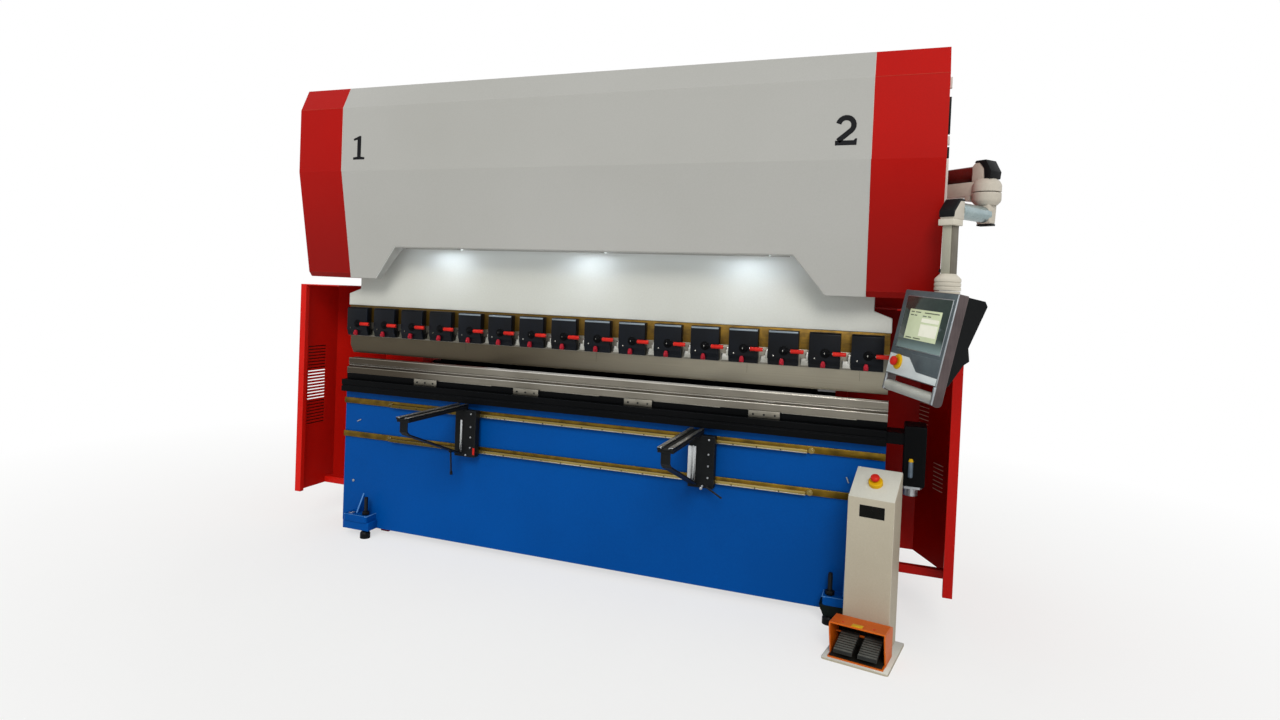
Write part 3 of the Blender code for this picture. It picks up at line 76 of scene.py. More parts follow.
# Sealed screed: a dull off-white with wide, barely seen clouds
screed = bpy.data.materials.new("sealed_screed")
screed.use_nodes = True
tree = screed.node_tree
skin = tree.nodes["Principled BSDF"]
skin.inputs["Roughness"].default_value = 0.85
ground = node(tree, "TexCoord").outputs["Object"]
cloud = node(tree, "TexNoise", {"Scale": 1.4, "Detail": 4.0}, {"Vector": ground})
tone = node(tree, "Mix", {"data_type": "RGBA", 6: linear("#F4F4F2"), 7: linear("#EFEFEC")}, {0: cloud})
tree.links.new(skin.inputs["Base Color"], tone.outputs[2])
seen = node(tree, "LightPath")
reach = node(tree, "VectorMath", {"operation": "LENGTH"}, {0: ground})
pure = node(tree, "MapRange",
            {"From Min": FADE_START, "From Max": FADE_END, "To Min": FLOOR_WHITE, "To Max": 1.0},
            {"Value": reach.outputs[1]})
share = node(tree, "Math", {"operation": "MULTIPLY"}, {0: seen.outputs["Is Camera Ray"], 1: pure})
white = node(tree, "Emission", {"Color": (1.0, 1.0, 1.0, 1.0), "Strength": 1.0})
floor_mix = node(tree, "MixShader", (), {0: share, 1: skin, 2: white})
tree.links.new(tree.nodes["Material Output"].inputs["Surface"], floor_mix.outputs[0])
floor_mesh = bpy.data.meshes.new("workshop_floor")
corners = [(x * FLOOR_HALF, y * FLOOR_HALF, 0) for x, y in ((-1, -1), (1, -1), (1, 1), (-1, 1))]
floor_mesh.from_pydata(corners, [], [(0, 1, 2, 3)])
floor_mesh.materials.append(screed)
floor = bpy.data.objects.new("workshop_floor", floor_mesh)
bpy.context.scene.collection.objects.link(floor)

world = bpy.data.worlds.new("workshop_light")
bpy.context.scene.world = world
world.use_nodes = True
tree = world.node_tree
around = tree.nodes["Background"]
around.inputs["Color"].default_value = linear("#F2F5F7")
around.inputs["Strength"].default_value = 0.60
wall = node(tree, "Background", {"Color": (1.0, 1.0, 1.0, 1.0), "Strength": 1.0})
path = node(tree, "LightPath")
mirrored = node(tree, "Math", {"operation": "MAXIMUM"},
                {0: path.outputs["Is Glossy Ray"], 1: path.outputs["Is Transmission Ray"]})
shown = node(tree, "Math", {"operation": "MAXIMUM"}, {0: path.outputs["Is Camera Ray"], 1: mirrored})
wall_mix = node(tree, "MixShader", (), {0: shown, 1: around, 2: wall})
tree.links.new(tree.nodes["World Output"].inputs["Surface"], wall_mix.outputs[0])

TO_DAYLIGHT = Vector((0.22, -0.80, 0.56))
DAYLIGHT_STRENGTH = 1.55
DAYLIGHT_SPREAD = 24.0
daylight = bpy.data.lights.new("daylight", "SUN")
daylight.energy = DAYLIGHT_STRENGTH
daylight.angle = math.radians(DAYLIGHT_SPREAD)
daylight.color = linear("#FFFBF4")[:3]
daylight_lamp = bpy.data.objects.new("daylight", daylight)
daylight_lamp.rotation_euler = TO_DAYLIGHT.to_track_quat("Z", "Y").to_euler()
bpy.context.scene.collection.objects.link(daylight_lamp)

# The camera stands 4 m in front of the tools at eye height and to the right, as in the
# photograph. Places on the machine are counted from the middle of the bending line, on the floor.
die_low, die_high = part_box("lower_die")
TOOLS = Vector(((die_low.x + die_high.x) / 2, (die_low.y + die_high.y) / 2, 0.0))
AT_TOOLS = Matrix.Translation(TOOLS)
EYE = Vector((1.6313, -4.0189, 1.5774))
YAW = 21.163
PITCH = -1.250
ROLL = 2.281
FOCAL_PIXELS = 773.19
IMAGE_WIDTH = 1280
MIDDLE_PIXELS = (39.65, -52.53)
camera_data = bpy.data.cameras.new("camera")
camera_data.sensor_width = 36.0
camera_data.lens = FOCAL_PIXELS / IMAGE_WIDTH * camera_data.sensor_width
camera_data.shift_x = MIDDLE_PIXELS[0] / IMAGE_WIDTH
camera_data.shift_y = MIDDLE_PIXELS[1] / IMAGE_WIDTH
camera = bpy.data.objects.new("camera", camera_data)
camera.location = TOOLS + EYE
camera.rotation_euler = (
    Matrix.Rotation(math.radians(YAW), 3, "Z") @ Matrix.Rotation(math.radians(90.0 + PITCH), 3, "X")
    @ Matrix.Rotation(math.radians(ROLL), 3, "Z")).to_euler()
bpy.context.scene.collection.objects.link(camera)
bpy.context.scene.camera = camera
bpy.context.scene.view_settings.view_transform = "Standard"

# Bed: one thick steel plate, flame cut and welded to its feet, then sprayed in blue two-pack
# enamel. It carries the table and everything in front of it.


# Coats are a little duller than fresh paint, after years of oil mist and wiping
PAINT_GLOSS = 0.11
METAL_GLOSS = 0.5


def finish(name, tone, shade, roughness, grain_mm, relief_mm, patch_mm, metallic=0.0, rub_and_highlight=None, fixed=(),
           light_and_shade_fade=None):
    """Two close tones in patches, a grain of real size, edges lightened by wear and painted highlight, and one
    soft change of tone that is painted light and shade.

    The change is given as (axis, start, end, tone) in the object's own metres.
    """
    material = bpy.data.materials.new(name)
    material.use_nodes = True
    tree = material.node_tree
    skin = tree.nodes["Principled BSDF"]
    skin.inputs["Metallic"].default_value = metallic
    skin.inputs["Specular IOR Level"].default_value = METAL_GLOSS if metallic else PAINT_GLOSS
    for key, value in dict(fixed).items():
        skin.inputs[key].default_value = value
    place = node(tree, "TexCoord").outputs["Object"]
    sized = node(tree, "Mapping", {"Scale": [1000.0 / size for size in grain_mm]}, {"Vector": place})
    grain = node(tree, "TexNoise", {"Scale": 1.0, "Detail": 3.0, "Roughness": 0.6}, {"Vector": sized})
    patches = node(tree, "TexNoise", {"Scale": 1000.0 / patch_mm, "Detail": 3.0}, {"Vector": place})
    spread = node(tree, "Math", {"operation": "MULTIPLY_ADD", 1: 0.5}, {0: grain, 2: patches})
    share = node(tree, "MapRange", {"From Min": 0.55, "From Max": 0.95}, {"Value": spread})
    colour = node(tree, "Mix", {"data_type": "RGBA", 6: linear(tone), 7: linear(shade)}, {0: share})
    gloss = node(tree, "MapRange",
                 {"From Min": 0.3, "From Max": 0.7, "To Min": roughness[0], "To Max": roughness[1]},
                 {"Value": grain})
    round_edge = node(tree, "Bevel", {"samples": 4, "Radius": 0.0025})
    skin_colour = colour.outputs[2]
    # A soft change of tone along one axis: painted light and shade
    if light_and_shade_fade:
        axis, start, end, far_tone = light_and_shade_fade
        spot = node(tree, "SeparateXYZ", (), {0: place}).outputs[axis]
        way = node(tree, "MapRange",
                   {"interpolation_type": "SMOOTHSTEP", "From Min": start, "From Max": end}, {"Value": spot})
        faded = node(tree, "Mix", {"data_type": "RGBA", 7: linear(far_tone)}, {0: way, 6: skin_colour})
        skin_colour = faded.outputs[2]
    # Edges turn lighter: partly rubbed wear, partly painted highlight
    if rub_and_highlight:
        flat = node(tree, "NewGeometry").outputs["Normal"]
        turn = node(tree, "VectorMath", {"operation": "DOT_PRODUCT"}, {0: round_edge, 1: flat})
        edge_light = node(tree, "MapRange", {"From Min": 0.995, "From Max": 0.90, "To Max": 0.8},
                    {"Value": turn.outputs[1]})
        rubbed_and_lit = node(tree, "Mix", {"data_type": "RGBA", 7: linear(rub_and_highlight)}, {0: edge_light, 6: skin_colour})
        skin_colour = rubbed_and_lit.outputs[2]
    tree.links.new(skin.inputs["Base Color"], skin_colour)
    tree.links.new(skin.inputs["Roughness"], gloss.outputs[0])
    bump = node(tree, "Bump", {"Strength": 0.5, "Distance": relief_mm / 1000.0},
                {"Height": grain, "Normal": round_edge})
    tree.links.new(skin.inputs["Normal"], bump.outputs[0])
    return material


def dress(material, *names):
    """Give CAD nodes their finish."""
    for name in names:
        mesh = frame["nodes"][name].data
        mesh.materials.clear()
        mesh.materials.append(material)


# Two-pack enamel: a deep even blue with a soft gloss. Its orange peel is about 2 mm and is drawn
# at 9 mm, or it would not show.
blue_enamel = finish("blue_enamel", "#004C9C", "#00458F", (0.30, 0.42), (9, 9, 9), 0.10, 800, rub_and_highlight="#1560AE",
                     fixed={"IOR": 1.52, "Specular IOR Level": 0.05})
dress(blue_enamel, "bed_plate")

# Fittings of the bed: a plug screw near the left edge, two short locating pins and a ring round
# each anchor hole. All are zinc-plated steel, screwed or pressed into the plate.
AT_ORIGIN = Matrix.Identity(4)
SHARP_ANGLE = 32.0


def add(bm, part, place):
    """Put a finished shape into a piece."""
    bmesh.ops.recalc_face_normals(part, faces=part.faces)
    mesh = bpy.data.meshes.new("shape")
    part.to_mesh(mesh)
    part.free()
    mesh.transform(place)
    bm.from_mesh(mesh)
    bpy.data.meshes.remove(mesh)


def slab(bm, outline, span, edge=0.0, place=AT_ORIGIN, steps=2):
    """Add a flat outline in XY, as thick along Z as its span, with rounded edges."""
    part = bmesh.new()
    low = [part.verts.new((u, v, span[0])) for u, v in outline]
    high = [part.verts.new((u, v, span[1])) for u, v in outline]
    part.faces.new(low)
    part.faces.new(high)
    for i in range(len(outline)):
        j = (i + 1) % len(outline)
        part.faces.new((low[i], low[j], high[j], high[i]))
    if edge:
        bmesh.ops.bevel(part, geom=part.edges[:], offset=edge, segments=steps, profile=0.5, affect="EDGES",
                        clamp_overlap=True)
    add(bm, part, place)


def block(bm, x, y, z, edge=0.0, place=AT_ORIGIN):
    """Add a cuboid between (low, high) pairs, with rounded edges."""
    slab(bm, [(x[0], y[0]), (x[1], y[0]), (x[1], y[1]), (x[0], y[1])], z, edge, place)


def lathe(bm, profile, place=AT_ORIGIN, sides=32):
    """Add a shape turned about Z from (radius, height) points."""
    part = bmesh.new()
    rings = []
    for radius, height in profile:
        around = [math.tau * k / sides for k in range(sides)] if radius else [0.0]
        rings.append([part.verts.new((radius * math.cos(a), radius * math.sin(a), height)) for a in around])
    for lower, upper in zip(rings, rings[1:]):
        for i in range(sides):
            j = (i + 1) % sides
            loop = [lower[i % len(lower)], lower[j % len(lower)], upper[j % len(upper)], upper[i % len(upper)]]
            part.faces.new(list(dict.fromkeys(loop)))
    add(bm, part, place)


def rod(bm, points, radius, sides=12):
    """Add a round bar along a line of points."""
    part = bmesh.new()
    points = [Vector(point) for point in points]
    steps = [(b - a).normalized() for a, b in zip(points, points[1:])]
    heading = steps[0]
    side = heading.orthogonal().normalized()
    rings = []
    for point, before, after in zip(points, [steps[0], *steps], [*steps, steps[-1]]):
        now = (before + after).normalized()
        side = heading.rotation_difference(now) @ side
        heading = now
        across = heading.cross(side)
        wide = radius / max(0.5, now.dot(after))
        rings.append([part.verts.new(point + wide * (math.cos(a) * side + math.sin(a) * across))
                      for a in (math.tau * k / sides for k in range(sides))])
    for lower, upper in zip(rings, rings[1:]):
        for i in range(sides):
            j = (i + 1) % sides
            part.faces.new((lower[i], lower[j], upper[j], upper[i]))
    part.faces.new(rings[0])
    part.faces.new(rings[-1])
    add(bm, part, AT_ORIGIN)


def piece(name, bm, material, body, place=AT_TOOLS):
    """Make the piece, smooth its round faces, and let it ride on a body."""
    mesh = bpy.data.meshes.new(name)
    bm.to_mesh(mesh)
    bm.free()
    mesh.materials.append(material)
    mesh.shade_smooth()
    mesh.set_sharp_from_angle(angle=math.radians(SHARP_ANGLE))
    obj = bpy.data.objects.new(name, mesh)
    bpy.context.scene.collection.objects.link(obj)
    obj.matrix_world = place
    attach(obj, body)
    return obj


ON_XZ = Matrix.Rotation(math.radians(90.0), 4, "X")


def facing(x, y, z):
    """Place whose Z points at the operator, for screws on a front."""
    return Matrix.Translation((x, y, z)) @ ON_XZ


bed_low, bed_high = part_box("bed_plate")
HALF = (bed_high.x - bed_low.x) / 2
BED_FRONT = -0.050
FOOT_TOP = 0.142
FOOT_X = HALF - 0.172
FOOT_Y = -0.110
PIN_RADIUS = 0.0035
# Bright zinc plate: a pale cool metal with soft clouds in its shine
zinc = finish("zinc_plated_steel", "#B9BCC0", "#9EA2A6", (0.28, 0.42), (4, 4, 4), 0.03, 60, metallic=1.0)
SOCKET = [(0.0, 0.0015), (0.0026, 0.0015), (0.0028, 0.0040), (0.0046, 0.0040), (0.0050, 0.0034),
          (0.0050, 0.0), (0.0, 0.0)]
RING = [(0.0115, 0.0), (0.0115, 0.003), (0.019, 0.003), (0.020, 0.002), (0.020, 0.0), (0.0115, 0.0)]
screws = bmesh.new()
plug = [(radius * 1.6, height * 1.4) for radius, height in SOCKET]
lathe(screws, plug, facing(-1.522, BED_FRONT, 0.325), 16)
rod(screws, [(-1.505, BED_FRONT - 0.003, 0.700), (-1.478, BED_FRONT - 0.003, 0.713)], PIN_RADIUS)
rod(screws, [(1.424, BED_FRONT - 0.004, 0.712), (1.436, BED_FRONT - 0.004, 0.684)], PIN_RADIUS)
for side in (-1, 1):
    lathe(screws, RING, Matrix.Translation((side * (FOOT_X + 0.050), FOOT_Y, FOOT_TOP)), 20)
piece("bed_screws", screws, zinc, "machine")

# Levelling feet: each bed foot is a bracket of blue plate on a threaded bolt with a round pad,
# held by a lock nut. Pale blue strips of painted highlight run along the brackets' edges and
# welds, and the right one has a rubber skirt.
FOOT_HALF = 0.085
FOOT_LOW = 0.102
BED_LOW = 0.047
BOLT_X = FOOT_X - 0.053
EDGE_Z = (FOOT_TOP - 0.004, FOOT_TOP + 0.0006)
THREAD_LOW = 0.150
THREAD_STEP = 0.003
# Black oxide: near black with a dull oily sheen
black_oxide = finish("black_oxide_steel", "#0A0B0D", "#050608", (0.36, 0.52), (7, 7, 7), 0.06, 160,
                     rub_and_highlight="#25272A", fixed={"IOR": 1.6})
# Dark rubber: dull, with a green cast
green_shade = finish("dark_green_rubber", "#0B1512", "#070E0C", (0.5, 0.64), (6, 6, 6), 0.10, 120)
# Pale blue: painted highlight on the brackets' edges and welds
blue_highlight = finish("pale_blue_painted_highlight", "#5E97D3", "#4A86C6", (0.30, 0.42), (6, 6, 6), 0.05, 40)
pads = bmesh.new()
edge_light = bmesh.new()
thread = [(0.0120 - 0.0014 * (k % 2), THREAD_LOW + THREAD_STEP * k) for k in range(32)]
BOLT = [(0.0, 0.0), (0.031, 0.0), (0.031, 0.030), (0.024, 0.040), (0.012, 0.044), *thread, (0.010, 0.250),
        (0.0, 0.250)]
for side in (-1, 1):
    lathe(pads, BOLT, Matrix.Translation((side * BOLT_X, FOOT_Y, 0.0)), 24)
    x = side * FOOT_X
    block(edge_light, (x - FOOT_HALF + 0.004, x + FOOT_HALF - 0.004), (-0.1495, -0.1440), EDGE_Z, 0.0005)
    inner_edge = x - side * FOOT_HALF
    block(edge_light, (inner_edge - 0.002, inner_edge + 0.002), (-0.146, -0.052), EDGE_Z, 0.0005)
    weld_x = x + side * 0.012
    rod(edge_light, [(weld_x, BED_FRONT - 0.001, FOOT_TOP + 0.110), (weld_x, BED_FRONT - 0.064, FOOT_TOP + 0.003)],
        0.0042, sides=8)
bolt_piece = piece("levelling_bolts", pads, black_oxide, "machine")
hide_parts("levelling_bolt_left", "levelling_bolt_right")
piece("foot_edge_highlights", edge_light, blue_highlight, "machine")
skirts = bmesh.new()
block(skirts, (-FOOT_X - 0.095, -FOOT_X + 0.095), (-0.140, BED_FRONT - 0.0005),
      (BED_LOW + 0.003, FOOT_LOW - 0.0003), 0.003)
piece("foot_skirt_left", skirts, blue_enamel, "machine")
rests = bmesh.new()
slab(rests, [(FOOT_X - 0.100, FOOT_LOW - 0.0003), (FOOT_X - 0.078, BED_LOW), (FOOT_X + 0.078, BED_LOW),
             (FOOT_X + 0.100, FOOT_LOW - 0.0003)], (0.052, 0.146), 0.003, ON_XZ)
piece("foot_rest_right", rests, green_shade, "machine")
NUT_RADIUS = 0.021 * 1.12
NUT = [(NUT_RADIUS * math.cos(math.tau * k / 6), NUT_RADIUS * math.sin(math.tau * k / 6)) for k in range(6)]
nuts = bmesh.new()
for side in (-1, 1):
    slab(nuts, NUT, (0.0005, 0.022), 0.0015, Matrix.Translation((side * BOLT_X, FOOT_Y, FOOT_TOP)))
piece("levelling_nuts", nuts, black_oxide, "machine")

# Crowning table and die holder: blackened steel bars bolted on the bed. Four pale clamp plates
# with three cap screws each hold the die, and the lip between them is a bright strip, partly wear
# and partly painted highlight.
TABLE_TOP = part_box("crowning_table")[1].z
HOLDER_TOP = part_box("die_holder")[1].z
DIE_TOP = die_high.z
PLATE_PITCH = 0.675
PLATE_HALF = 0.079
PLATE_COUNT = 4
PLATE_FRONT = -0.0635
LIP_STOP = 0.15
# Black satin paint: almost no gloss, so the table stays dark under the lamps
black_satin = finish("black_painted_steel", "#07080A", "#040506", (0.34, 0.50), (8, 8, 8), 0.08, 260,
                     rub_and_highlight="#191B1F", fixed={"IOR": 1.55, "Specular IOR Level": 0.05})
dress(black_satin, "crowning_table", "die_holder")
# Milled steel: soft light streaks. The cutter's lines are about 1 mm apart and are drawn at 5 mm.
milled = finish("milled_steel", "#8F8B80", "#757167", (0.30, 0.46), (240, 5, 5), 0.05, 90, metallic=0.85,
                rub_and_highlight="#D8D6CE")
plates = bmesh.new()
heads = bmesh.new()
lips = bmesh.new()
for k in range(PLATE_COUNT):
    x = (k - (PLATE_COUNT - 1) / 2) * PLATE_PITCH
    block(plates, (x - PLATE_HALF, x + PLATE_HALF), (PLATE_FRONT, PLATE_FRONT + 0.004),
          (TABLE_TOP + 0.001, HOLDER_TOP + 0.002), 0.001)
    for offset in (-0.055, 0.0, 0.055):
        lathe(heads, SOCKET, facing(x + offset, PLATE_FRONT, (TABLE_TOP + HOLDER_TOP) / 2), 14)
    block(lips, (x + PLATE_HALF + 0.006, min(x + PLATE_PITCH - PLATE_HALF - LIP_STOP, HALF)),
          (-0.0515, -0.046), (HOLDER_TOP - 0.003, HOLDER_TOP - 0.0003), 0.0006)
piece("die_clamp_plates", plates, milled, "machine")
piece("die_clamp_screws", heads, black_oxide, "machine")
piece("holder_lip_highlights", lips, milled, "machine")

# Lower die and punch: hardened tool steel bars, planed and ground along their length, clamped
# end to end. Bright strips along the die's edges are painted highlight.
ALONG_X = Matrix(((0, 0, 1, 0), (1, 0, 0, 0), (0, 1, 0, 0), (0, 0, 0, 1)))
punch_low, punch_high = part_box("punch")
PUNCH_HALF = (punch_high.x - punch_low.x) / 2
PUNCH_TIP = punch_low.z
PUNCH_TOP = punch_high.z
PUNCH_JOINTS = (-0.760, 0.075, 0.910, 1.462)
# Ground steel: long soft streaks, darker to the left where less daylight falls. Grinding lines
# are finer than 0.1 mm and are drawn 3 mm wide.
ground_die = finish("ground_die_steel", "#8E897F", "#7A756B", (0.24, 0.40), (420, 3, 3), 0.03, 260,
                    metallic=1.0, rub_and_highlight="#F0EEE8", fixed={"Anisotropic": 0.5}, light_and_shade_fade=(0, -0.7, -1.3, "#4E473E"))
dress(ground_die, "lower_die")
# Ground punch steel: darker to the left, in painted shade
ground_punch = finish("ground_punch_steel", "#A09A8A", "#938D7E", (0.30, 0.42), (420, 4, 3), 0.02, 700,
                      metallic=0.9, rub_and_highlight="#B9B5AA", fixed={"Anisotropic": 0.4},
                      light_and_shade_fade=(0, 0.95, -0.60, "#5A5244"))
blade = bmesh.new()
slab(blade, [(-0.030, PUNCH_TOP), (-0.030, PUNCH_TIP + 0.050), (-0.001, PUNCH_TIP + 0.002), (0.0, PUNCH_TIP),
             (0.001, PUNCH_TIP + 0.002), (0.014, PUNCH_TIP + 0.036), (0.014, PUNCH_TOP - 0.044),
             (0.026, PUNCH_TOP - 0.030), (0.026, PUNCH_TOP)], (-PUNCH_HALF, PUNCH_HALF), 0.0, ALONG_X)
blade_piece = piece("punch_blade", blade, ground_punch, "ram")
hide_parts("punch")
# Bright edge: a near-white painted highlight, darker to the left in painted shade
highlight_steel = finish("painted_highlight_edge_steel", "#EDEBE4", "#C9C5BA", (0.16, 0.28), (300, 3, 3), 0.02, 400,
                    metallic=1.0, light_and_shade_fade=(0, -0.3, -1.4, "#8A8478"))
edges = bmesh.new()
block(edges, (-HALF, HALF), (-0.0347, -0.0310), (DIE_TOP - 0.0050, DIE_TOP - 0.0001), 0.0004)
block(edges, (-HALF, HALF), (-0.0507, -0.0440), (HOLDER_TOP + 0.0340, HOLDER_TOP + 0.0385), 0.0004)
piece("die_edge_highlights", edges, highlight_steel, "machine")
joints = bmesh.new()
for x in PUNCH_JOINTS:
    block(joints, (x - 0.0004, x + 0.0004), (-0.0303, -0.029), (PUNCH_TIP + 0.058, PUNCH_TOP - 0.002))
piece("punch_joints", joints, black_oxide, "ram")

# Strips and rails of the support arms: yellow-passivated steel strips screwed to the bed, each
# with a drawn steel rail that the arms slide along.
rail_low, rail_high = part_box("support_rail_upper")
STRIP_HEIGHT = rail_high.z - rail_low.z
LOWER_DROP = rail_low.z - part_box("support_rail_lower")[0].z
RAIL_FRONT = rail_low.y - TOOLS.y
STRIP_FRONT = RAIL_FRONT + 0.018
RAIL_HALF = HALF - 0.365
RAIL_SIDE = 0.020
RAIL_SCREW_PITCH = 0.120
HIGHLIGHT_FROM = -0.62
STUD = [(0.0, 0.012), (0.007, 0.012), (0.0075, 0.006), (0.015, 0.006), (0.015, 0.0), (0.0, 0.0)]
SUNK_SCREW = [(0.0, 0.0002), (0.0038, 0.0002), (0.0042, -0.001), (0.0, -0.001)]
# Yellow passivation: brown to greenish gold, in streaks along the strip
passivated = finish("yellow_passivated_steel", "#7E6218", "#4C3B0C", (0.26, 0.42), (260, 6, 6), 0.04, 70,
                    metallic=0.85, rub_and_highlight="#C9AC55")
# Drawn steel: a long even shine, browner and darker to the left in painted shade
drawn_rail = finish("drawn_rail_steel", "#9C8A52", "#7C6A36", (0.24, 0.36), (900, 6, 6), 0.02, 400,
                    metallic=0.9, rub_and_highlight="#C9BA8A", light_and_shade_fade=(0, -0.55, -0.75, "#5A4A1C"))
strips = bmesh.new()
rails = bmesh.new()
lines = bmesh.new()
sunk = bmesh.new()
for low in (rail_low.z, rail_low.z - LOWER_DROP):
    block(strips, (-HALF, HALF), (STRIP_FRONT, BED_FRONT - 0.0003), (low, low + STRIP_HEIGHT), 0.0012)
    rail_top = low + RAIL_SIDE
    slab(rails, [(RAIL_FRONT, low + 0.0006), (RAIL_FRONT + 0.001, low), (STRIP_FRONT + 0.0004, low),
                 (STRIP_FRONT + 0.0004, rail_top), (RAIL_FRONT + 0.005, rail_top),
                 (RAIL_FRONT + 0.0015, rail_top - 0.0015), (RAIL_FRONT, rail_top - 0.005)],
         (-RAIL_HALF, RAIL_HALF), 0.0, ALONG_X)
    # A thin strip of painted highlight along each rail's lower front edge, right of the left arm
    block(lines, (HIGHLIGHT_FROM, RAIL_HALF), (RAIL_FRONT - 0.00015, RAIL_FRONT + 0.0005),
          (low + 0.0022, low + 0.0050))
    for side in (-1, 1):
        lathe(rails, STUD, facing(side * (RAIL_HALF + 0.019), STRIP_FRONT, low + 0.014), 24)
    for k in range(int(2 * RAIL_HALF / RAIL_SCREW_PITCH)):
        x = -RAIL_HALF + (k + 0.5) * RAIL_SCREW_PITCH
        lathe(sunk, SUNK_SCREW, facing(x, RAIL_FRONT, low + 0.006), 12)
rail_piece = piece("arm_rails", rails, drawn_rail, "machine")
piece("arm_rail_highlight_lines", lines, highlight_steel, "machine")
strip_piece = piece("arm_rail_strips", strips, passivated, "machine")
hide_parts("support_rail_upper", "support_rail_lower")
piece("rail_screws", sunk, black_oxide, "machine")

# Support arms: black powder-coated carriages that hook over the rails. Their tops are two
# extruded aluminium strips, and a drawn steel bar stands upright in front of each carriage.
STRIP_WIDTH = 0.020
UPRIGHTS = {"left": ((0.004, 0.016),), "right": ((-0.0105, 0.005), (-0.037, -0.0115))}
CARRIAGE_FACE = -0.130
LOCK_SCREW = [(0.0, 0.010), (0.004, 0.009), (0.006, 0.006), (0.0055, 0.0), (0.0, 0.0)]
# Extruded aluminium: bright, with die lines along the arm
extruded = finish("extruded_aluminium", "#CDD0D2", "#AEB2B5", (0.22, 0.36), (3, 260, 3), 0.03, 90,
                  metallic=1.0, rub_and_highlight="#F2F3F4")
# Black powder coat: dark grey-black with a fine texture that spreads the light
black_coat = finish("black_powder_coat", "#151718", "#0D0E10", (0.42, 0.56), (5, 5, 5), 0.12, 200,
                    rub_and_highlight="#34373A", fixed={"IOR": 1.5})
dress(black_coat, "support_carriage_left", "support_carriage_right", "support_top_left",
      "support_top_right")
for word, uprights in UPRIGHTS.items():
    body = "support_" + word
    top_low, top_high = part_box("support_top_" + word)
    x = (top_low.x + top_high.x) / 2 - TOOLS.x
    bars = bmesh.new()
    for near, far in uprights:
        block(bars, (x + near, x + far), (-0.1365, -0.1285), (0.605, 0.797), 0.002)
    piece("upright_bar_" + word, bars, extruded, body)
    ribs = bmesh.new()
    top_half = (top_high.x - top_low.x) / 2
    for start in (-top_half, top_half - STRIP_WIDTH):
        block(ribs, (x + start, x + start + STRIP_WIDTH),
              (top_low.y - TOOLS.y + 0.0008, top_high.y - TOOLS.y - 0.001),
              (top_high.z - 0.006, top_high.z + 0.0012), 0.0006)
    piece("arm_top_ribs_" + word, ribs, extruded, body)
    screws = bmesh.new()
    for z in (0.640, 0.700, 0.760, 0.835):
        lathe(screws, SOCKET, facing(x + 0.070, CARRIAGE_FACE, z), 14)
    lathe(screws, LOCK_SCREW, facing(x + 0.044, CARRIAGE_FACE, 0.596), 16)
    piece("carriage_screws_" + word, screws, zinc, body)
# Red ABS, moulded: an even warm red with a soft shine
red_plastic = finish("red_abs", "#D02A20", "#B81E18", (0.28, 0.40), (5, 5, 5), 0.05, 60, fixed={"IOR": 1.53})
tag = bmesh.new()
block(tag, (-0.630, -0.617), (-0.1335, -0.1295), (0.600, 0.640), 0.001)
piece("carriage_catch_left", tag, red_plastic, "support_left")
levers = bmesh.new()
lathe(levers, [(0.0, 0.0), (0.009, 0.0), (0.009, 0.018), (0.006, 0.022), (0.0, 0.022)],
      facing(-0.717, -0.214, 0.630), 20)
rod(levers, [(-0.7060, -0.2302, 0.518), (-0.7035, -0.2312, 0.498)], 0.008)
piece("lever_knob_left", levers, black_oxide, "support_left")
knob = bmesh.new()
lathe(knob, [(0.0, 0.0), (0.008, 0.0), (0.009, 0.010), (0.006, 0.014), (0.0, 0.014)],
      facing(0.721, CARRIAGE_FACE, 0.585), 20)
piece("lever_knob_right", knob, zinc, "support_right")

# Ram: a flat steel plate that two cylinders push down behind the cover. It is sprayed in pale
# satin paint, which the lamps above light up.
# Pale satin paint, lighter toward the top as painted light from the lamps
pale_paint = finish("pale_satin_paint", "#CDCFCA", "#C4C6BF", (0.34, 0.46), (10, 10, 10), 0.08, 900,
                    rub_and_highlight="#DCDDDA", fixed={"IOR": 1.5}, light_and_shade_fade=(2, 1.60, 1.80, "#E6EAE7"))
dress(pale_paint, "ram_plate")

# Clamp row: sixteen quick clamps screwed to the ram. Each is a black oxide jaw with a hub, a
# bright lever rod in a red sleeve, a red release knob and a thin aluminium cap strip.
RAM_BOTTOM = 1.427
CLAMP_COUNT = 16
CLAMP_PITCH = 2 * HALF / CLAMP_COUNT
FIRST_CAP = 4
LAST_CAP = CLAMP_COUNT - 3
JAW_HALF = 0.070
JAW_LEFT = JAW_HALF + 0.008
JAW_LOW = PUNCH_TOP + 0.005
JAW_TOP = RAM_BOTTOM - 0.012
JAW_FRONT = -0.092
JAW_BACK = -0.045
JAW_OUTLINE = [
    (JAW_BACK, JAW_LOW), (JAW_BACK, JAW_TOP), (JAW_FRONT + 0.008, JAW_TOP), (JAW_FRONT, JAW_TOP - 0.010),
    (JAW_FRONT, JAW_LOW + 0.036), (JAW_FRONT + 0.012, JAW_LOW + 0.016), (JAW_FRONT + 0.012, JAW_LOW)]
HUB_Z = PUNCH_TOP + 0.079
HUB = [(0.0, 0.014), (0.010, 0.014), (0.013, 0.011), (0.0135, 0.005), (0.022, 0.004), (0.024, 0.002),
       (0.024, -0.002), (0.0, -0.002)]
HUB_PIN = [(0.0, 0.0165), (0.0045, 0.0165), (0.006, 0.0145), (0.006, 0.012), (0.0, 0.012)]
JAW_PIN = [(0.0, 0.004), (0.003, 0.004), (0.0045, 0.002), (0.0045, -0.001), (0.0, -0.001)]
LEVER_Y = JAW_FRONT - 0.019
SLEEVE = [(0.0036, 0.0), (0.0085, 0.0), (0.0105, 0.003), (0.0100, 0.020), (0.0105, 0.040), (0.0105, 0.060),
          (0.0085, 0.064), (0.0036, 0.064), (0.0036, 0.0)]
KNOB_LOW = JAW_LOW + 0.002
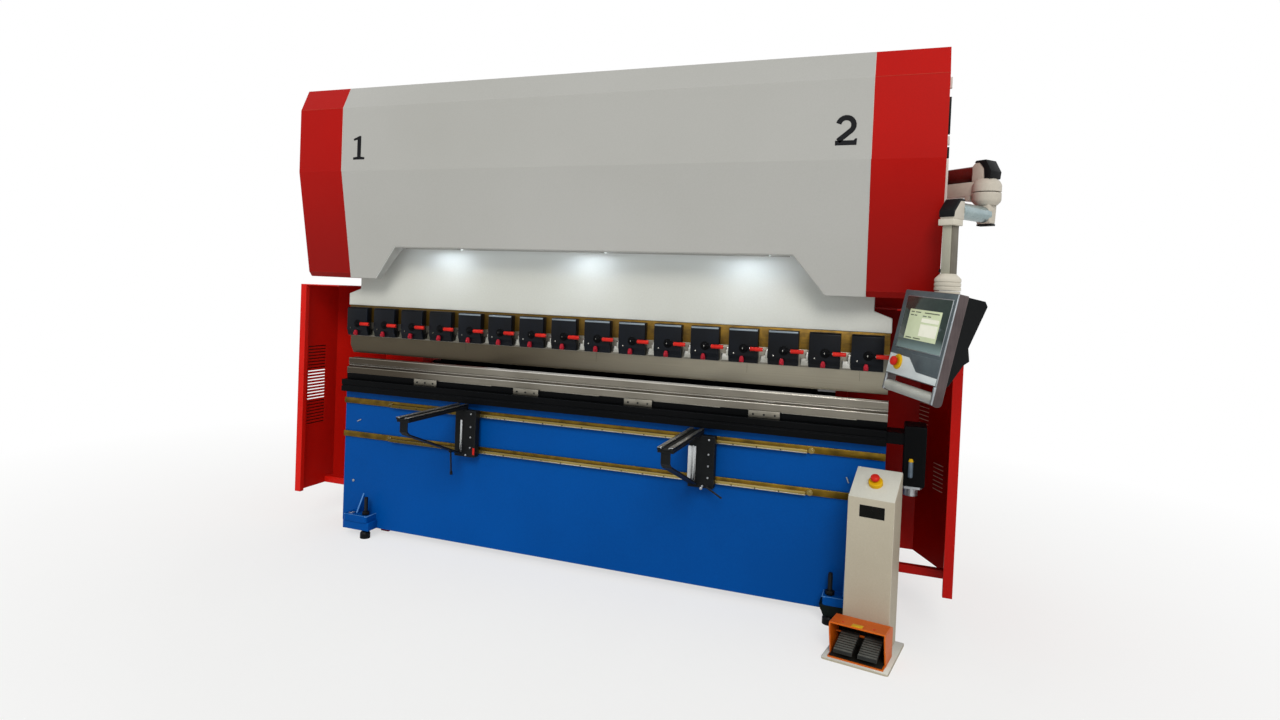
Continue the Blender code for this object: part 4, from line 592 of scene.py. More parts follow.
KNOB_OUTLINE = [(-0.011, KNOB_LOW), (0.011, KNOB_LOW), (0.011, KNOB_LOW + 0.018), (0.006, KNOB_LOW + 0.032),
                (-0.006, KNOB_LOW + 0.032), (-0.011, KNOB_LOW + 0.018)]
KNOB_BUTTON = [(0.0, 0.012), (0.0055, 0.012), (0.007, 0.010), (0.007, 0.0), (0.0, 0.0)]
ROW_HALF = HALF - 0.005
TO_RIGHT = Matrix.Rotation(math.radians(90.0), 4, "Y")
# Oiled black oxide: the oil gives it a blue cast
blued = finish("oiled_black_oxide", "#0C1119", "#07090D", (0.30, 0.46), (6, 6, 6), 0.06, 160, rub_and_highlight="#263040",
               fixed={"IOR": 1.6})
# Gold chromate: mottled brown gold, dull in its hollows, darker to the left in painted shade
gold_chromate = finish("gold_chromate_steel", "#86661C", "#584212", (0.36, 0.52), (40, 5, 8), 0.05, 50,
                       metallic=0.6, rub_and_highlight="#B59245", light_and_shade_fade=(0, 0.9, -0.9, "#55400F"))
# Turned steel: small sharp highlights that die away to the left
bright_steel = finish("bright_turned_steel", "#C9C8C2", "#A3A29A", (0.18, 0.30), (6, 3, 3), 0.03, 40,
                      metallic=1.0, light_and_shade_fade=(0, -0.3, -1.0, "#5E5C52"))
backing = bmesh.new()
block(backing, (-ROW_HALF, ROW_HALF), (JAW_BACK, 0.030), (PUNCH_TOP + 0.088, RAM_BOTTOM - 0.0003), 0.001)
tang = bmesh.new()
block(tang, (-ROW_HALF, ROW_HALF), (-0.0435, 0.029), (PUNCH_TOP + 0.0003, PUNCH_TOP + 0.088), 0.0006)
jaws = bmesh.new()
caps = bmesh.new()
hubs = bmesh.new()
rods = bmesh.new()
sleeves = bmesh.new()
knobs = bmesh.new()
spacers = bmesh.new()
for k in range(CLAMP_COUNT):
    x = (k + 0.5) * CLAMP_PITCH - HALF
    slab(jaws, JAW_OUTLINE, (x - JAW_LEFT, x + JAW_HALF), 0.0018, ALONG_X)
    if FIRST_CAP <= k <= LAST_CAP:
        block(caps, (x - JAW_HALF - 0.006, x + JAW_HALF - 0.002), (JAW_FRONT - 0.0015, JAW_FRONT + 0.020),
              (JAW_TOP - 0.013, JAW_TOP - 0.004), 0.0015)
    hub = facing(x, JAW_FRONT, HUB_Z)
    lathe(hubs, HUB, hub, 24)
    block(hubs, (x, x + 0.034), (JAW_FRONT - 0.024, JAW_FRONT - 0.012), (HUB_Z - 0.006, HUB_Z + 0.006), 0.002)
    rod(rods, [(x + 0.028, LEVER_Y, HUB_Z), (x + 0.102, LEVER_Y, HUB_Z + 0.001)], 0.0035, sides=10)
    lathe(rods, JAW_PIN, facing(x - 0.050, JAW_FRONT, JAW_LOW + 0.046), 12)
    lathe(rods, HUB_PIN, hub, 16)
    lathe(sleeves, SLEEVE, Matrix.Translation((x + 0.036, LEVER_Y, HUB_Z)) @ TO_RIGHT, 20)
    slab(knobs, KNOB_OUTLINE, (0.0, 0.016), 0.0025, facing(x - 0.008, JAW_FRONT + 0.006, 0.0))
    lathe(knobs, KNOB_BUTTON, facing(x - 0.008, JAW_FRONT - 0.008, KNOB_LOW + 0.012), 16)
    gap = x + CLAMP_PITCH / 2
    if k < CLAMP_COUNT - 1:
        block(spacers, (gap - 0.020, gap + 0.020), (-0.060, -0.044), (JAW_LOW + 0.004, JAW_LOW + 0.040), 0.002)
        block(spacers, (gap + 0.006, gap + 0.018), (-0.072, -0.058), (JAW_LOW + 0.030, JAW_LOW + 0.072), 0.0015)
jaw_piece = piece("clamp_jaws", jaws, blued, "ram")
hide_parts("clamp_row")
piece("clamp_spacer_bar", backing, gold_chromate, "ram")
piece("clamp_tang_bar", tang, milled, "ram")
# Zinc plate in shade: a dull blue grey
cap_grey = finish("blue_grey_zinc_plate", "#8E9AA3", "#76828C", (0.34, 0.48), (40, 4, 4), 0.03, 120,
                  metallic=0.5)
piece("clamp_cap_strips", caps, cap_grey, "ram")
piece("clamp_hubs", hubs, black_satin, "ram")
piece("clamp_lever_rods", rods, bright_steel, "ram")
piece("clamp_lever_sleeves", sleeves, red_plastic, "ram")
# Crimson ABS: colder and darker than the sleeves
knob_red = finish("crimson_abs", "#B02232", "#941A28", (0.32, 0.44), (4, 4, 4), 0.05, 30,
                  fixed={"IOR": 1.53})
piece("clamp_release_knobs", knobs, knob_red, "ram")
piece("clamp_stop_blocks", spacers, bright_steel, "ram")

# Covers: folded steel sheet, powder coated light grey in front and red on the ends, hung on a
# black carrier. The two cylinders are marked with plain numbers cut from black film.
cover_low, cover_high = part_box("front_cover")
COVER_FRONT = cover_low.y - TOOLS.y
NUMBER_Z = 2.287
FILM = (0.0, 0.0008)
BAR = 0.024
BOWL_RADIUS = 0.034
BOWL_Z = 0.092
# Powder coat: a fine texture and hardly any gloss. The red is darker lower down, in the shade.
grey_coat = finish("grey_powder_coat", "#B3B3B0", "#ACACA8", (0.40, 0.52), (7, 7, 7), 0.10, 1300,
                   rub_and_highlight="#C9C8C4", fixed={"IOR": 1.5})
red_coat = finish("red_powder_coat", "#B60D05", "#A80B04", (0.34, 0.46), (7, 7, 7), 0.10, 900, rub_and_highlight="#CF3A2E",
                  fixed={"IOR": 1.5}, light_and_shade_fade=(2, 2.45, 1.60, "#8C0A06"))
dress(grey_coat, "front_cover")
dress(red_coat, "end_cover_left", "end_cover_right")
dress(black_coat, "cover_carrier")
# Vinyl film: flat black with a faint shine
film = finish("black_vinyl_film", "#15161A", "#0F1013", (0.40, 0.50), (6, 6, 6), 0.02, 100)
first = bmesh.new()
slab(first, [(-0.040, 0.0), (0.040, 0.0), (0.040, 0.013), (0.014, 0.016), (0.014, 0.137), (0.002, 0.137),
             (-0.040, 0.121), (-0.036, 0.111), (-0.012, 0.116), (-0.012, 0.016), (-0.040, 0.013)], FILM)
piece("cylinder_number_1", first, film, "machine",
      AT_TOOLS @ facing(-1.357, COVER_FRONT, NUMBER_Z))
second = bmesh.new()
bowl = [math.radians(168.0 - 18.0 * k) for k in range(13)]
spine = [Vector((BOWL_RADIUS * math.cos(a), BOWL_Z + BOWL_RADIUS * math.sin(a))) for a in bowl]
spine.append(Vector((-0.034, 0.020)))
outer = []
inner = []
for before, here, after in zip([spine[0], *spine], spine, [*spine[1:], spine[-1]]):
    along = (after - before).normalized()
    across = Vector((-along.y, along.x)) * (BAR / 2)
    outer.append((here + across)[:])
    inner.append((here - across)[:])
for k in range(len(spine) - 1):
    slab(second, [outer[k], outer[k + 1], inner[k + 1], inner[k]], FILM)
slab(second, [(-0.046, 0.0), (0.048, 0.0), (0.050, 0.030), (0.042, 0.030), (0.036, 0.022), (-0.046, 0.022)],
     FILM)
piece("cylinder_number_2", second, film, "machine",
      AT_TOOLS @ facing(1.365, COVER_FRONT, NUMBER_Z))

# Joint and fold highlights: where the covers meet, a pale strip in the gap is painted highlight, and
# a lighter red line across each end cover is painted highlight on its fold.
EDGE_TOP_Y = -0.246
CHAMFER_Z = 2.592
CREASE_Z = 2.221
COVER_TOP = cover_high.z
JOINT_X = (cover_high.x - cover_low.x) / 2
joint_highlight_paint = finish("pale_joint_painted_highlight", "#D6D2CC", "#C4BFB8", (0.36, 0.48), (5, 5, 30), 0.04, 120)
fold_highlight_paint = finish("red_fold_painted_highlight", "#C9402F", "#B83324", (0.36, 0.48), (5, 5, 5), 0.04, 120)
joint_highlights = bmesh.new()
fold_highlights = bmesh.new()
for side in (-1, 1):
    x = side * JOINT_X
    rod(joint_highlights, [(x, EDGE_TOP_Y, COVER_TOP - 0.002), (x, COVER_FRONT, CHAMFER_Z), (x, COVER_FRONT, CREASE_Z)],
        0.0016, sides=6)
    rod(fold_highlights, [(side * 1.482, COVER_FRONT, CHAMFER_Z), (side * 1.790, COVER_FRONT, CHAMFER_Z)], 0.0013,
        sides=6)
piece("cover_joint_highlights", joint_highlights, joint_highlight_paint, "machine")
piece("cover_fold_highlights", fold_highlights, fold_highlight_paint, "machine")

# Work lamps: three strip lamps with a white acrylic diffuser, let into the top of the cover's
# window. They throw the pale pools of light on the ram. A weak strip between them runs behind a
# folded shield.
LAMP_Z = 1.777
LAMP_HALF = 0.105
WINDOW_HALF = 1.120
LAMP_GLOW = 47.0
STRIP_GLOW = 1.5
# Lit acrylic: white with a cool cast
diffuser = finish("lamp_diffuser_acrylic", "#FFFFFF", "#F2F6FA", (0.30, 0.40), (5, 5, 5), 0.02, 40,
                  fixed={"Emission Color": linear("#EAF4FF"), "Emission Strength": LAMP_GLOW})
lamps = bmesh.new()
for x in (-0.846, 0.035, 0.908):
    block(lamps, (x - LAMP_HALF, x + LAMP_HALF), (-0.1632, -0.1500), (LAMP_Z + 0.0008, LAMP_Z + 0.0098),
          0.0005)
piece("lamp_diffusers", lamps, diffuser, "machine")
shield = bmesh.new()
block(shield, (-WINDOW_HALF, WINDOW_HALF), (-0.1500, -0.1490), (LAMP_Z + 0.0010, LAMP_Z + 0.0096))
piece("lamp_shield", shield, grey_coat, "machine")
strip_glow = finish("light_strip_acrylic", "#FFFFFF", "#F2F6FA", (0.30, 0.40), (5, 5, 5), 0.02, 40,
                    fixed={"Emission Color": linear("#EAF4FF"), "Emission Strength": STRIP_GLOW})
glow = bmesh.new()
block(glow, (-WINDOW_HALF, WINDOW_HALF), (-0.1488, -0.1440), (LAMP_Z + 0.0018, LAMP_Z + 0.0096))
piece("window_light_strip", glow, strip_glow, "machine")

# Window edge: the folded flange of the cover along the window's left slope. Its near-white colour
# is painted light from the lamps.
FLANGE_FOOT = (-1.298, 0.0, 1.597)
FLANGE_LENGTH = 0.2440
FLANGE_DEEP = 0.1460
lamp_lit_paint = finish("pale_sheet_painted_light", "#F4FAF8", "#E9F0EE", (0.30, 0.42), (8, 8, 8), 0.05, 200)
slope = Vector((0.154, 0.0, 0.190)).normalized()
inward = Vector((slope.z, 0.0, -slope.x))
turned = Matrix((slope, (0.0, -1.0, 0.0), inward)).transposed().to_4x4()
flange = bmesh.new()
slab(flange, [(0.0, 0.1925), (FLANGE_LENGTH, 0.2270), (FLANGE_LENGTH, FLANGE_DEEP), (0.0, FLANGE_DEEP)],
     (0.0003, 0.0013), 0.0, Matrix.Translation(FLANGE_FOOT) @ turned)
piece("window_flange_left", flange, lamp_lit_paint, "machine")

# Side frames and tie beams: thick red enamelled steel plate, welded and bolted, with the grey
# tank and the black cylinder blocks bolted between and on them.
red_enamel = finish("red_enamel", "#B00C05", "#9E0903", (0.28, 0.40), (9, 9, 9), 0.10, 700, rub_and_highlight="#C9352A",
                    fixed={"IOR": 1.52})
dress(red_enamel, "side_frame_left", "side_frame_right", "rear_tie_beam", "upper_tie_beam",
      "side_guard_right", "control_cabinet")
dress(grey_coat, "oil_tank")
dress(black_satin, "cylinder_left", "cylinder_right")

# Side guards: folded red sheet with pressed louvres. Dark red plates of painted shade close the left
# guard's slots, and the right guard's blades are painted pale as painted light from the daylight.
LOUVRE_GROUPS = ((0.630, 0.795), (0.985, 1.160))
GUARD_OUTSIDE = -1.915
GUARD_KINK = Vector((1.912, 0.220, 0.0))
TURN_IN = Vector((-0.155, 0.340, 0.0))
OFF_WALL = Vector((-0.004, -0.003, 0.0))
BLADE_PITCH = 0.022
BLADE_GROUPS = ((0.22, 0.48, 0.615, 7), (0.70, 0.97, 0.930, 6))
# Red enamel, painted lighter on the left guard as painted light, since it faces the daylight
lit_guard_red = finish("red_guard_enamel_painted_light", "#D61A10", "#C4150C", (0.28, 0.40), (9, 9, 9), 0.10, 700,
                   rub_and_highlight="#D8402F", fixed={"IOR": 1.52})
dress(lit_guard_red, "side_guard_left")
shade_red = finish("dark_louvre_shade", "#4A0C08", "#3A0906", (0.4, 0.5), (9, 9, 9), 0.05, 300)
louvre_shade = bmesh.new()
for low, high in LOUVRE_GROUPS:
    block(louvre_shade, (GUARD_OUTSIDE + 0.0001, GUARD_OUTSIDE + 0.0030), (-0.062, 0.124), (low, high), 0.0005)
piece("louvre_painted_shade_plates", louvre_shade, shade_red, "machine")
blade_pink = finish("pale_lit_louvre_blade", "#F2D2C8", "#E4BCB0", (0.4, 0.5), (9, 9, 9), 0.05, 100)
blades = bmesh.new()
for first, last, low, count in BLADE_GROUPS:
    near = GUARD_KINK + first * TURN_IN + OFF_WALL
    far = GUARD_KINK + last * TURN_IN + OFF_WALL
    for k in range(count):
        lift = Vector((0.0, 0.0, low + BLADE_PITCH * k))
        rod(blades, [near + lift, far + lift], 0.0028, sides=6)
piece("louvre_blades_right", blades, blade_pink, "machine")

# Hinge strip of the right end cover: black leaves riveted to its edge, with a pale strip in
# between that is painted highlight along the edge.
PALE_HIGHLIGHT_SPANS = ((2.57, 2.62), (2.31, 2.35), (2.05, 2.245))
DARK_LEAVES = ((2.36, 2.53), (2.25, 2.30))
for name, leaves, paint, slot in (("cover_edge_highlight_strip", PALE_HIGHLIGHT_SPANS, joint_highlight_paint, "light_paint"),
                                  ("cover_hinge_leaves", DARK_LEAVES, black_coat, "black_paint")):
    strip = bmesh.new()
    for span in leaves:
        block(strip, (1.7940, 1.8100), (-0.1250, -0.1050), span, 0.001)
    piece(name, strip, paint, "machine")

# Control cabinet: a sheet steel box with a door on its right. The door has a rubber seam, three
# hinges, a quarter-turn lock and a row of vent slots.
DOOR_MARGIN = 0.030
VENT_PITCH = 0.016
cabinet_low, cabinet_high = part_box("control_cabinet")
door_x = cabinet_high.x
door_y = (cabinet_low.y + DOOR_MARGIN, cabinet_high.y - DOOR_MARGIN)
door_z = (cabinet_low.z + DOOR_MARGIN, cabinet_high.z - DOOR_MARGIN)
door_middle = (door_z[0] + door_z[1]) / 2
door = bmesh.new()
block(door, (door_x - 0.001, door_x + 0.003), door_y, door_z, 0.0015)
seam = bmesh.new()
seam_way = ((0, 0), (1, 0), (1, 1), (0, 1), (0, 0))
rod(seam, [(door_x + 0.0005, door_y[i], door_z[j]) for i, j in seam_way], 0.003, sides=6)
for k in range(10):
    z = door_z[0] + 0.080 + VENT_PITCH * k
    block(seam, (door_x + 0.002, door_x + 0.0038), (door_y[0] + 0.150, door_y[1] - 0.150), (z, z + 0.006),
          0.0005)
fittings = bmesh.new()
block(fittings, (door_x + 0.003, door_x + 0.010), (door_y[0] + 0.022, door_y[0] + 0.046),
      (door_middle - 0.075, door_middle + 0.075), 0.003)
lathe(fittings, [(0.0, 0.0), (0.013, 0.0), (0.013, 0.008), (0.0, 0.009)],
      Matrix.Translation((door_x + 0.008, door_y[0] + 0.034, door_middle + 0.040)) @ TO_RIGHT, 20)
for z in (door_z[0] + 0.120, door_middle, door_z[1] - 0.120):
    hinge = (door_x + 0.004, door_y[1] + 0.006)
    rod(fittings, [(*hinge, z - 0.040), (*hinge, z + 0.040)], 0.007)
piece("cabinet_door", door, red_enamel, "machine", AT_ORIGIN)
piece("cabinet_seam", seam, black_coat, "machine", AT_ORIGIN)
piece("cabinet_fittings", fittings, zinc, "machine", AT_ORIGIN)

# Behind the tools: a blue pump motor on the tank, and a black back gauge that slides on two
# ground steel rails bolted to the frames.
motor_blue = finish("motor_blue_paint", "#1A4F8F", "#123F78", (0.34, 0.48), (7, 7, 7), 0.08, 120,
                    rub_and_highlight="#3F74B4")
dress(motor_blue, "pump_motor")
dress(ground_die, "gauge_rail_left", "gauge_rail_right")
dress(black_satin, "back_gauge")

# Crowning drive: a black gearbox bolted to the end of the table. A small grease cylinder with a
# yellow cap stands on its front, and its zinc-plated bracket carries a steel disc.
DRIVE_FRONT = -0.100
GREASER = (1.712, DRIVE_FRONT - 0.011)
dress(black_satin, "crowning_drive")
dress(zinc, "drive_bracket")
# Moulded ABS: strong yellow, softly shining
yellow_plastic = finish("yellow_abs", "#E0B010", "#C89A0C", (0.30, 0.42), (5, 5, 5), 0.04, 50,
                        fixed={"IOR": 1.53})
# Grease seen through its clear tube: blue grey
greaser_grey = finish("blue_grey_greaser", "#5C6B7A", "#47545F", (0.25, 0.4), (5, 5, 5), 0.03, 40,
                      metallic=0.3)
greaser = bmesh.new()
lathe(greaser, [(0.0, 0.0), (0.009, 0.0), (0.011, 0.003), (0.011, 0.070), (0.009, 0.074), (0.0, 0.074)],
      Matrix.Translation((*GREASER, 0.757)), 20)
block(greaser, (GREASER[0] - 0.008, GREASER[0] + 0.008), (DRIVE_FRONT - 0.006, DRIVE_FRONT + 0.001),
      (0.771, 0.817), 0.001)
piece("greaser_glass", greaser, greaser_grey, "machine")
greaser_cap = bmesh.new()
lathe(greaser_cap, [(0.0, 0.016), (0.007, 0.014), (0.011, 0.004), (0.011, 0.0), (0.0, 0.0)],
      Matrix.Translation((*GREASER, 0.831)), 20)
piece("greaser_cap", greaser_cap, yellow_plastic, "machine")

# Pendant arm, fixed part: a cast beam in cream powder coat, bolted to the cover's side, with a
# red tube along its top. It ends in a drum joint under a black moulded cap.
hinges = {joint["name"]: joint for joint in frame["joints"]}
DRUM = Vector(hinges["arm_swing"]["pos_m"][:2]).to_3d()
POLE = Vector(hinges["pendant_turn"]["pos_m"][:2]).to_3d()
DRUM_SPLIT = 2.089
DRUM_RADIUS = 0.061
BEAM_HALF = 0.032
beam_root = Vector((TOOLS.x + 1.793, TOOLS.y + 0.033, 0.0))
beam_way = DRUM - beam_root
BEAM = beam_way.length
on_beam = Matrix.Translation(beam_root) @ Matrix.Rotation(math.atan2(beam_way.y, beam_way.x), 4, "Z")
# Cream powder coat over castings: warm and matt, paler on its edges
cream_coat = finish("cream_powder_coat", "#CDC6BA", "#BDB6A9", (0.36, 0.48), (5, 5, 5), 0.10, 120,
                    rub_and_highlight="#DDD8CE", fixed={"IOR": 1.5})
# Dark red enamel on tube: a narrow bright line along its top
arm_red = finish("dark_red_tube_enamel", "#6E2420", "#561A18", (0.22, 0.34), (6, 6, 6), 0.05, 90,
                 rub_and_highlight="#A05A50")


def profile_from(x, z, points):
    """Outline whose points are given from a joint's place along the arm and its height."""
    return [(x + right, z + up) for right, up in points]


beam = bmesh.new()
block(beam, (0.010, BEAM - 0.030), (-BEAM_HALF, BEAM_HALF), (DRUM_SPLIT - 0.012, DRUM_SPLIT + 0.052), 0.004)
block(beam, (BEAM - 0.092, BEAM - 0.0635), (-0.030, 0.030), (DRUM_SPLIT - 0.034, DRUM_SPLIT + 0.052), 0.004)
slab(beam, profile_from(BEAM, DRUM_SPLIT, [(-0.056, 0.050), (0.006, 0.050), (0.010, 0.110), (-0.014, 0.138),
                                           (-0.040, 0.138), (-0.056, 0.122)]), (-0.034, 0.034), 0.005, ON_XZ)
lathe(beam, [(0.0, 0.060), (0.040, 0.060), (0.051, 0.052), (DRUM_RADIUS - 0.001, 0.036),
             (DRUM_RADIUS, 0.030), (DRUM_RADIUS, 0.004), (DRUM_RADIUS - 0.002, 0.002), (0.0, 0.002)],
      Matrix.Translation((BEAM, 0.0, DRUM_SPLIT)), 40)
beam_piece = piece("arm_beam_castings", beam, cream_coat, "machine", on_beam)
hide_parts("arm_beam")
upper_tube = bmesh.new()
rod(upper_tube, [(0.008, 0.0, DRUM_SPLIT + 0.090), (BEAM - 0.052, 0.0, DRUM_SPLIT + 0.092)], 0.035, sides=32)
piece("arm_upper_tube", upper_tube, arm_red, "machine", on_beam)
caps = bmesh.new()
slab(caps, profile_from(BEAM, DRUM_SPLIT, [(0.008, 0.060), (0.040, 0.060), (0.044, 0.092), (0.014, 0.146),
                                           (-0.036, 0.146), (-0.044, 0.137), (-0.015, 0.137), (0.008, 0.108)]),
     (-0.036, 0.036), 0.0025, ON_XZ)
piece("arm_elbow_cap", caps, black_coat, "machine", on_beam)

# Pendant arm, swinging part: a cast drum and link with black end caps and a drawn tube between
# them. The pole, a coated box tube with a channel along its back, hangs from it.
POLE_TOP = 1.951
SWIVEL_LOW = 1.6355
TUBE_DROP = 0.101
link_way = POLE - DRUM
LINK = link_way.length
on_link = Matrix.Translation(DRUM) @ Matrix.Rotation(math.atan2(link_way.y, link_way.x), 4, "Z")
POLE_SPAN = (SWIVEL_LOW + 0.070, POLE_TOP - 0.030)
COLLAR = [(0.0, 0.074), (0.030, 0.074), (0.034, 0.072), (0.052, 0.054), (0.054, 0.050), (0.054, 0.039),
          (0.051, 0.037), (0.051, 0.035), (0.054, 0.033), (0.054, 0.021), (0.051, 0.019), (0.051, 0.017),
          (0.054, 0.015), (0.054, 0.001), (0.0, 0.001)]
link = bmesh.new()
lathe(link, [(0.0, -0.002), (DRUM_RADIUS - 0.002, -0.002), (DRUM_RADIUS, -0.004), (DRUM_RADIUS, -0.034),
             (DRUM_RADIUS - 0.004, -0.044), (0.044, -0.058), (0.0, -0.058)],
      Matrix.Translation((0.0, 0.0, DRUM_SPLIT)), 40)
slab(link, profile_from(0.0, DRUM_SPLIT, [(-0.034, -0.055), (-0.026, -0.142), (0.016, -0.142),
                                          (0.036, -0.110), (0.036, -0.055)]), (-0.033, 0.033), 0.007, ON_XZ, 3)
slab(link, profile_from(LINK, POLE_TOP, [(-0.052, -0.008), (0.030, -0.008), (0.030, 0.026), (-0.014, 0.076),
                                         (-0.052, 0.076)]), (-0.033, 0.033), 0.005, ON_XZ)
link_piece = piece("arm_link_castings", link, cream_coat, "pendant_arm", on_link)
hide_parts("arm_pole")
link_caps = bmesh.new()
slab(link_caps, profile_from(LINK, POLE_TOP, [(0.029, 0.002), (0.036, 0.002), (0.036, 0.030), (-0.011, 0.083),
                                              (-0.050, 0.083), (-0.050, 0.075), (-0.015, 0.075),
                                              (0.029, 0.025)]), (-0.034, 0.034), 0.002, ON_XZ)
block(link_caps, (-0.024, 0.014), (-0.034, 0.034), (DRUM_SPLIT - 0.150, DRUM_SPLIT - 0.141), 0.002)
rod(link_caps, [(LINK - 0.002, -0.020, SWIVEL_LOW + 0.084), (LINK + 0.004, -0.040, SWIVEL_LOW + 0.088)], 0.008)
piece("arm_link_caps", link_caps, black_coat, "pendant_arm", on_link)
# Drawn tube: silver with a blue cast and fine lines along it
silver_tube = finish("blue_silver_drawn_tube", "#A9B9BB", "#8FA2A6", (0.22, 0.34), (3, 3, 200), 0.03, 80,
                     metallic=0.8)
tubes = bmesh.new()
tube_z = DRUM_SPLIT - TUBE_DROP
rod(tubes, [(0.012, 0.0, tube_z), (LINK - 0.050, 0.0, tube_z)], 0.036, sides=32)
piece("arm_link_tube", tubes, silver_tube, "pendant_arm", on_link)
# Coated extrusion: grey green in front; browner and darker in the channel as painted shade
pole_paint = finish("grey_green_pole_coat", "#A9A798", "#9C9A8B", (0.34, 0.46), (5, 5, 160), 0.05, 200,
                    rub_and_highlight="#C2C0B2")
pole_shade = finish("brown_grey_cable_channel", "#7A756A", "#69645A", (0.40, 0.52), (5, 5, 160), 0.05, 120)
pole = bmesh.new()
block(pole, (LINK - 0.028, LINK + 0.024), (-0.0225, 0.018), POLE_SPAN, 0.004)
piece("pole_tube", pole, pole_paint, "pendant_arm", on_link)
channel = bmesh.new()
block(channel, (LINK - 0.030, LINK + 0.019), (0.0165, 0.0225), POLE_SPAN, 0.0015)
piece("pole_cable_channel", channel, pole_shade, "pendant_arm", on_link)
# Cast collar: the palest of the creams
pale_casting = finish("pale_cast_collar_coat", "#D3CDBF", "#C6C0B1", (0.36, 0.48), (5, 5, 5), 0.08, 120,
                      rub_and_highlight="#E3DED2")
collars = bmesh.new()
block(collars, (LINK - 0.037, LINK + 0.037), (-0.036, 0.036), (POLE_TOP - 0.034, POLE_TOP - 0.007), 0.003)
lathe(collars, COLLAR, Matrix.Translation((LINK, 0.0, SWIVEL_LOW)), 40)
piece("pole_collars", collars, pale_casting, "pendant_arm", on_link)
neck = bmesh.new()
lathe(neck, [(0.0, -0.0015), (0.050, -0.0015), (0.052, -0.004), (0.052, -0.016), (0.0, -0.016)],
      Matrix.Translation((POLE.x, POLE.y, SWIVEL_LOW)), 40)
piece("pendant_neck_ring", neck, pale_casting, "pendant", AT_ORIGIN)

# Pendant: a grey moulded front in an aluminium profile case, screwed to a black rear housing
# that hangs on the swivel and leans back. Its front has a glass with a display, keypad films
# and a stop button.
LEAN = -10.76
TILT = 2.48
TURN = -61.44
FACE_FROM_POLE = Vector((-0.068, -0.140, 1.629))
# The panels are drawn at the size of a 400 mm wide case
FACE_SCALE = 0.407 / 0.400
CASE_HALF = 0.2035
CASE_LOW = -0.379
GRIP_X = 0.196
CARD = (0.0033, 0.0036)
TEXT_HALF = 0.0022
face = (Matrix.Translation(POLE) @ Matrix.Translation(FACE_FROM_POLE)
        @ Euler([math.radians(a) for a in (LEAN, TILT, TURN)], "YXZ").to_matrix().to_4x4())
on_face = face @ ON_XZ
# Moulded ABS: an even blue grey with a fine texture
case_grey = finish("grey_moulded_abs", "#5C676B", "#50595E", (0.34, 0.46), (4, 4, 4), 0.05, 80,
                   rub_and_highlight="#7C8790", fixed={"IOR": 1.53})
# Anodised profiles: the case is brown grey with drawn lines, the grip is pale
side_grey = finish("brown_grey_anodised_profile", "#5B4F50", "#473D3E", (0.32, 0.46), (4, 4, 200), 0.04, 90,
                   metallic=0.4, rub_and_highlight="#9A8F8A")
grip_pale = finish("pale_anodised_grip", "#C6C8C0", "#B4B6AE", (0.32, 0.44), (4, 4, 4), 0.03, 90,
                   metallic=0.2)
dress(side_grey, "pendant_case")
dress(black_coat, "pendant_housing")
dress(grip_pale, "pendant_grip")
dress(red_plastic, "pendant_stop")


def panel(name, outline, thick, material, edge=0.0006):
    """Flat plate on the pendant's face, drawn in (right, up) metres from its top middle."""
    bm = bmesh.new()
    slab(bm, [(u * FACE_SCALE, v * FACE_SCALE) for u, v in outline], (-0.0003, thick), edge)
    piece(name, bm, material, "pendant", on_face)


def oblong(left, right, low, high):
    """Outline of an upright oblong."""
    return [(left, high), (right, high), (right, low), (left, low)]


panel("pendant_front", oblong(-0.1975, 0.1975, -0.3695, -0.0025), 0.0012, case_grey)
# Satin aluminium: a thin bright outline
frame_silver = finish("satin_aluminium_frame", "#B9BFC4", "#A2A8AD", (0.26, 0.38), (4, 4, 4), 0.02, 60,
                      metallic=0.9)
panel("bezel_frame", oblong(-0.166, 0.179, -0.254, -0.025), 0.0022, frame_silver)
# Printed glass: near black green, smooth, paler at its foot where it mirrors the light
dark_glass = finish("dark_printed_glass", "#35443F", "#2A3735", (0.06, 0.10), (30, 30, 30), 0.0, 200,
                    fixed={"IOR": 1.52, "Specular IOR Level": 0.28}, light_and_shade_fade=(1, -0.190, -0.258, "#8FA5A4"))
panel("bezel_glass", oblong(-0.163, 0.176, -0.251, -0.028), 0.0030, dark_glass)
# Lit display: pale yellow green with plain grey bars and two lighter fields
display = finish("lit_display", "#C9D2B0", "#BEC8A2", (0.10, 0.16), (40, 40, 40), 0.0, 150,
                 fixed={"Emission Color": linear("#C9D2B0"), "Emission Strength": 0.25})
panel("display", oblong(-0.118, 0.127, -0.2095, -0.081), 0.0034, display, edge=0.0002)
ink = finish("grey_display_ink", "#6E7862", "#5F6955", (0.2, 0.3), (6, 6, 6), 0.0, 40)
marks = bmesh.new()
for left, right, z in ((-0.105, -0.080, -0.092), (-0.070, -0.030, -0.092), (0.000, 0.110, -0.092),
                       (-0.105, -0.082, -0.106), (-0.075, -0.055, -0.106), (-0.010, 0.018, -0.106),
                       (0.030, 0.052, -0.106), (-0.105, -0.060, -0.202), (-0.045, 0.010, -0.202)):
    block(marks, (left, right), (z - TEXT_HALF, z + TEXT_HALF), (0.0033, 0.0037))
bmesh.ops.scale(marks, vec=(FACE_SCALE, FACE_SCALE, 1.0), verts=marks.verts)
piece("display_marks", marks, ink, "pendant", on_face)
light_field = finish("pale_display_field", "#DDE0CC", "#D3D7C0", (0.12, 0.2), (30, 30, 30), 0.0, 100,
                     fixed={"Emission Color": linear("#EAE4DA"), "Emission Strength": 0.35})
cards = bmesh.new()
for low, high in ((-0.132, -0.115), (-0.190, -0.140)):
    block(cards, (-0.012, 0.118), (low, high), CARD)
bmesh.ops.scale(cards, vec=(FACE_SCALE, FACE_SCALE, 1.0), verts=cards.verts)
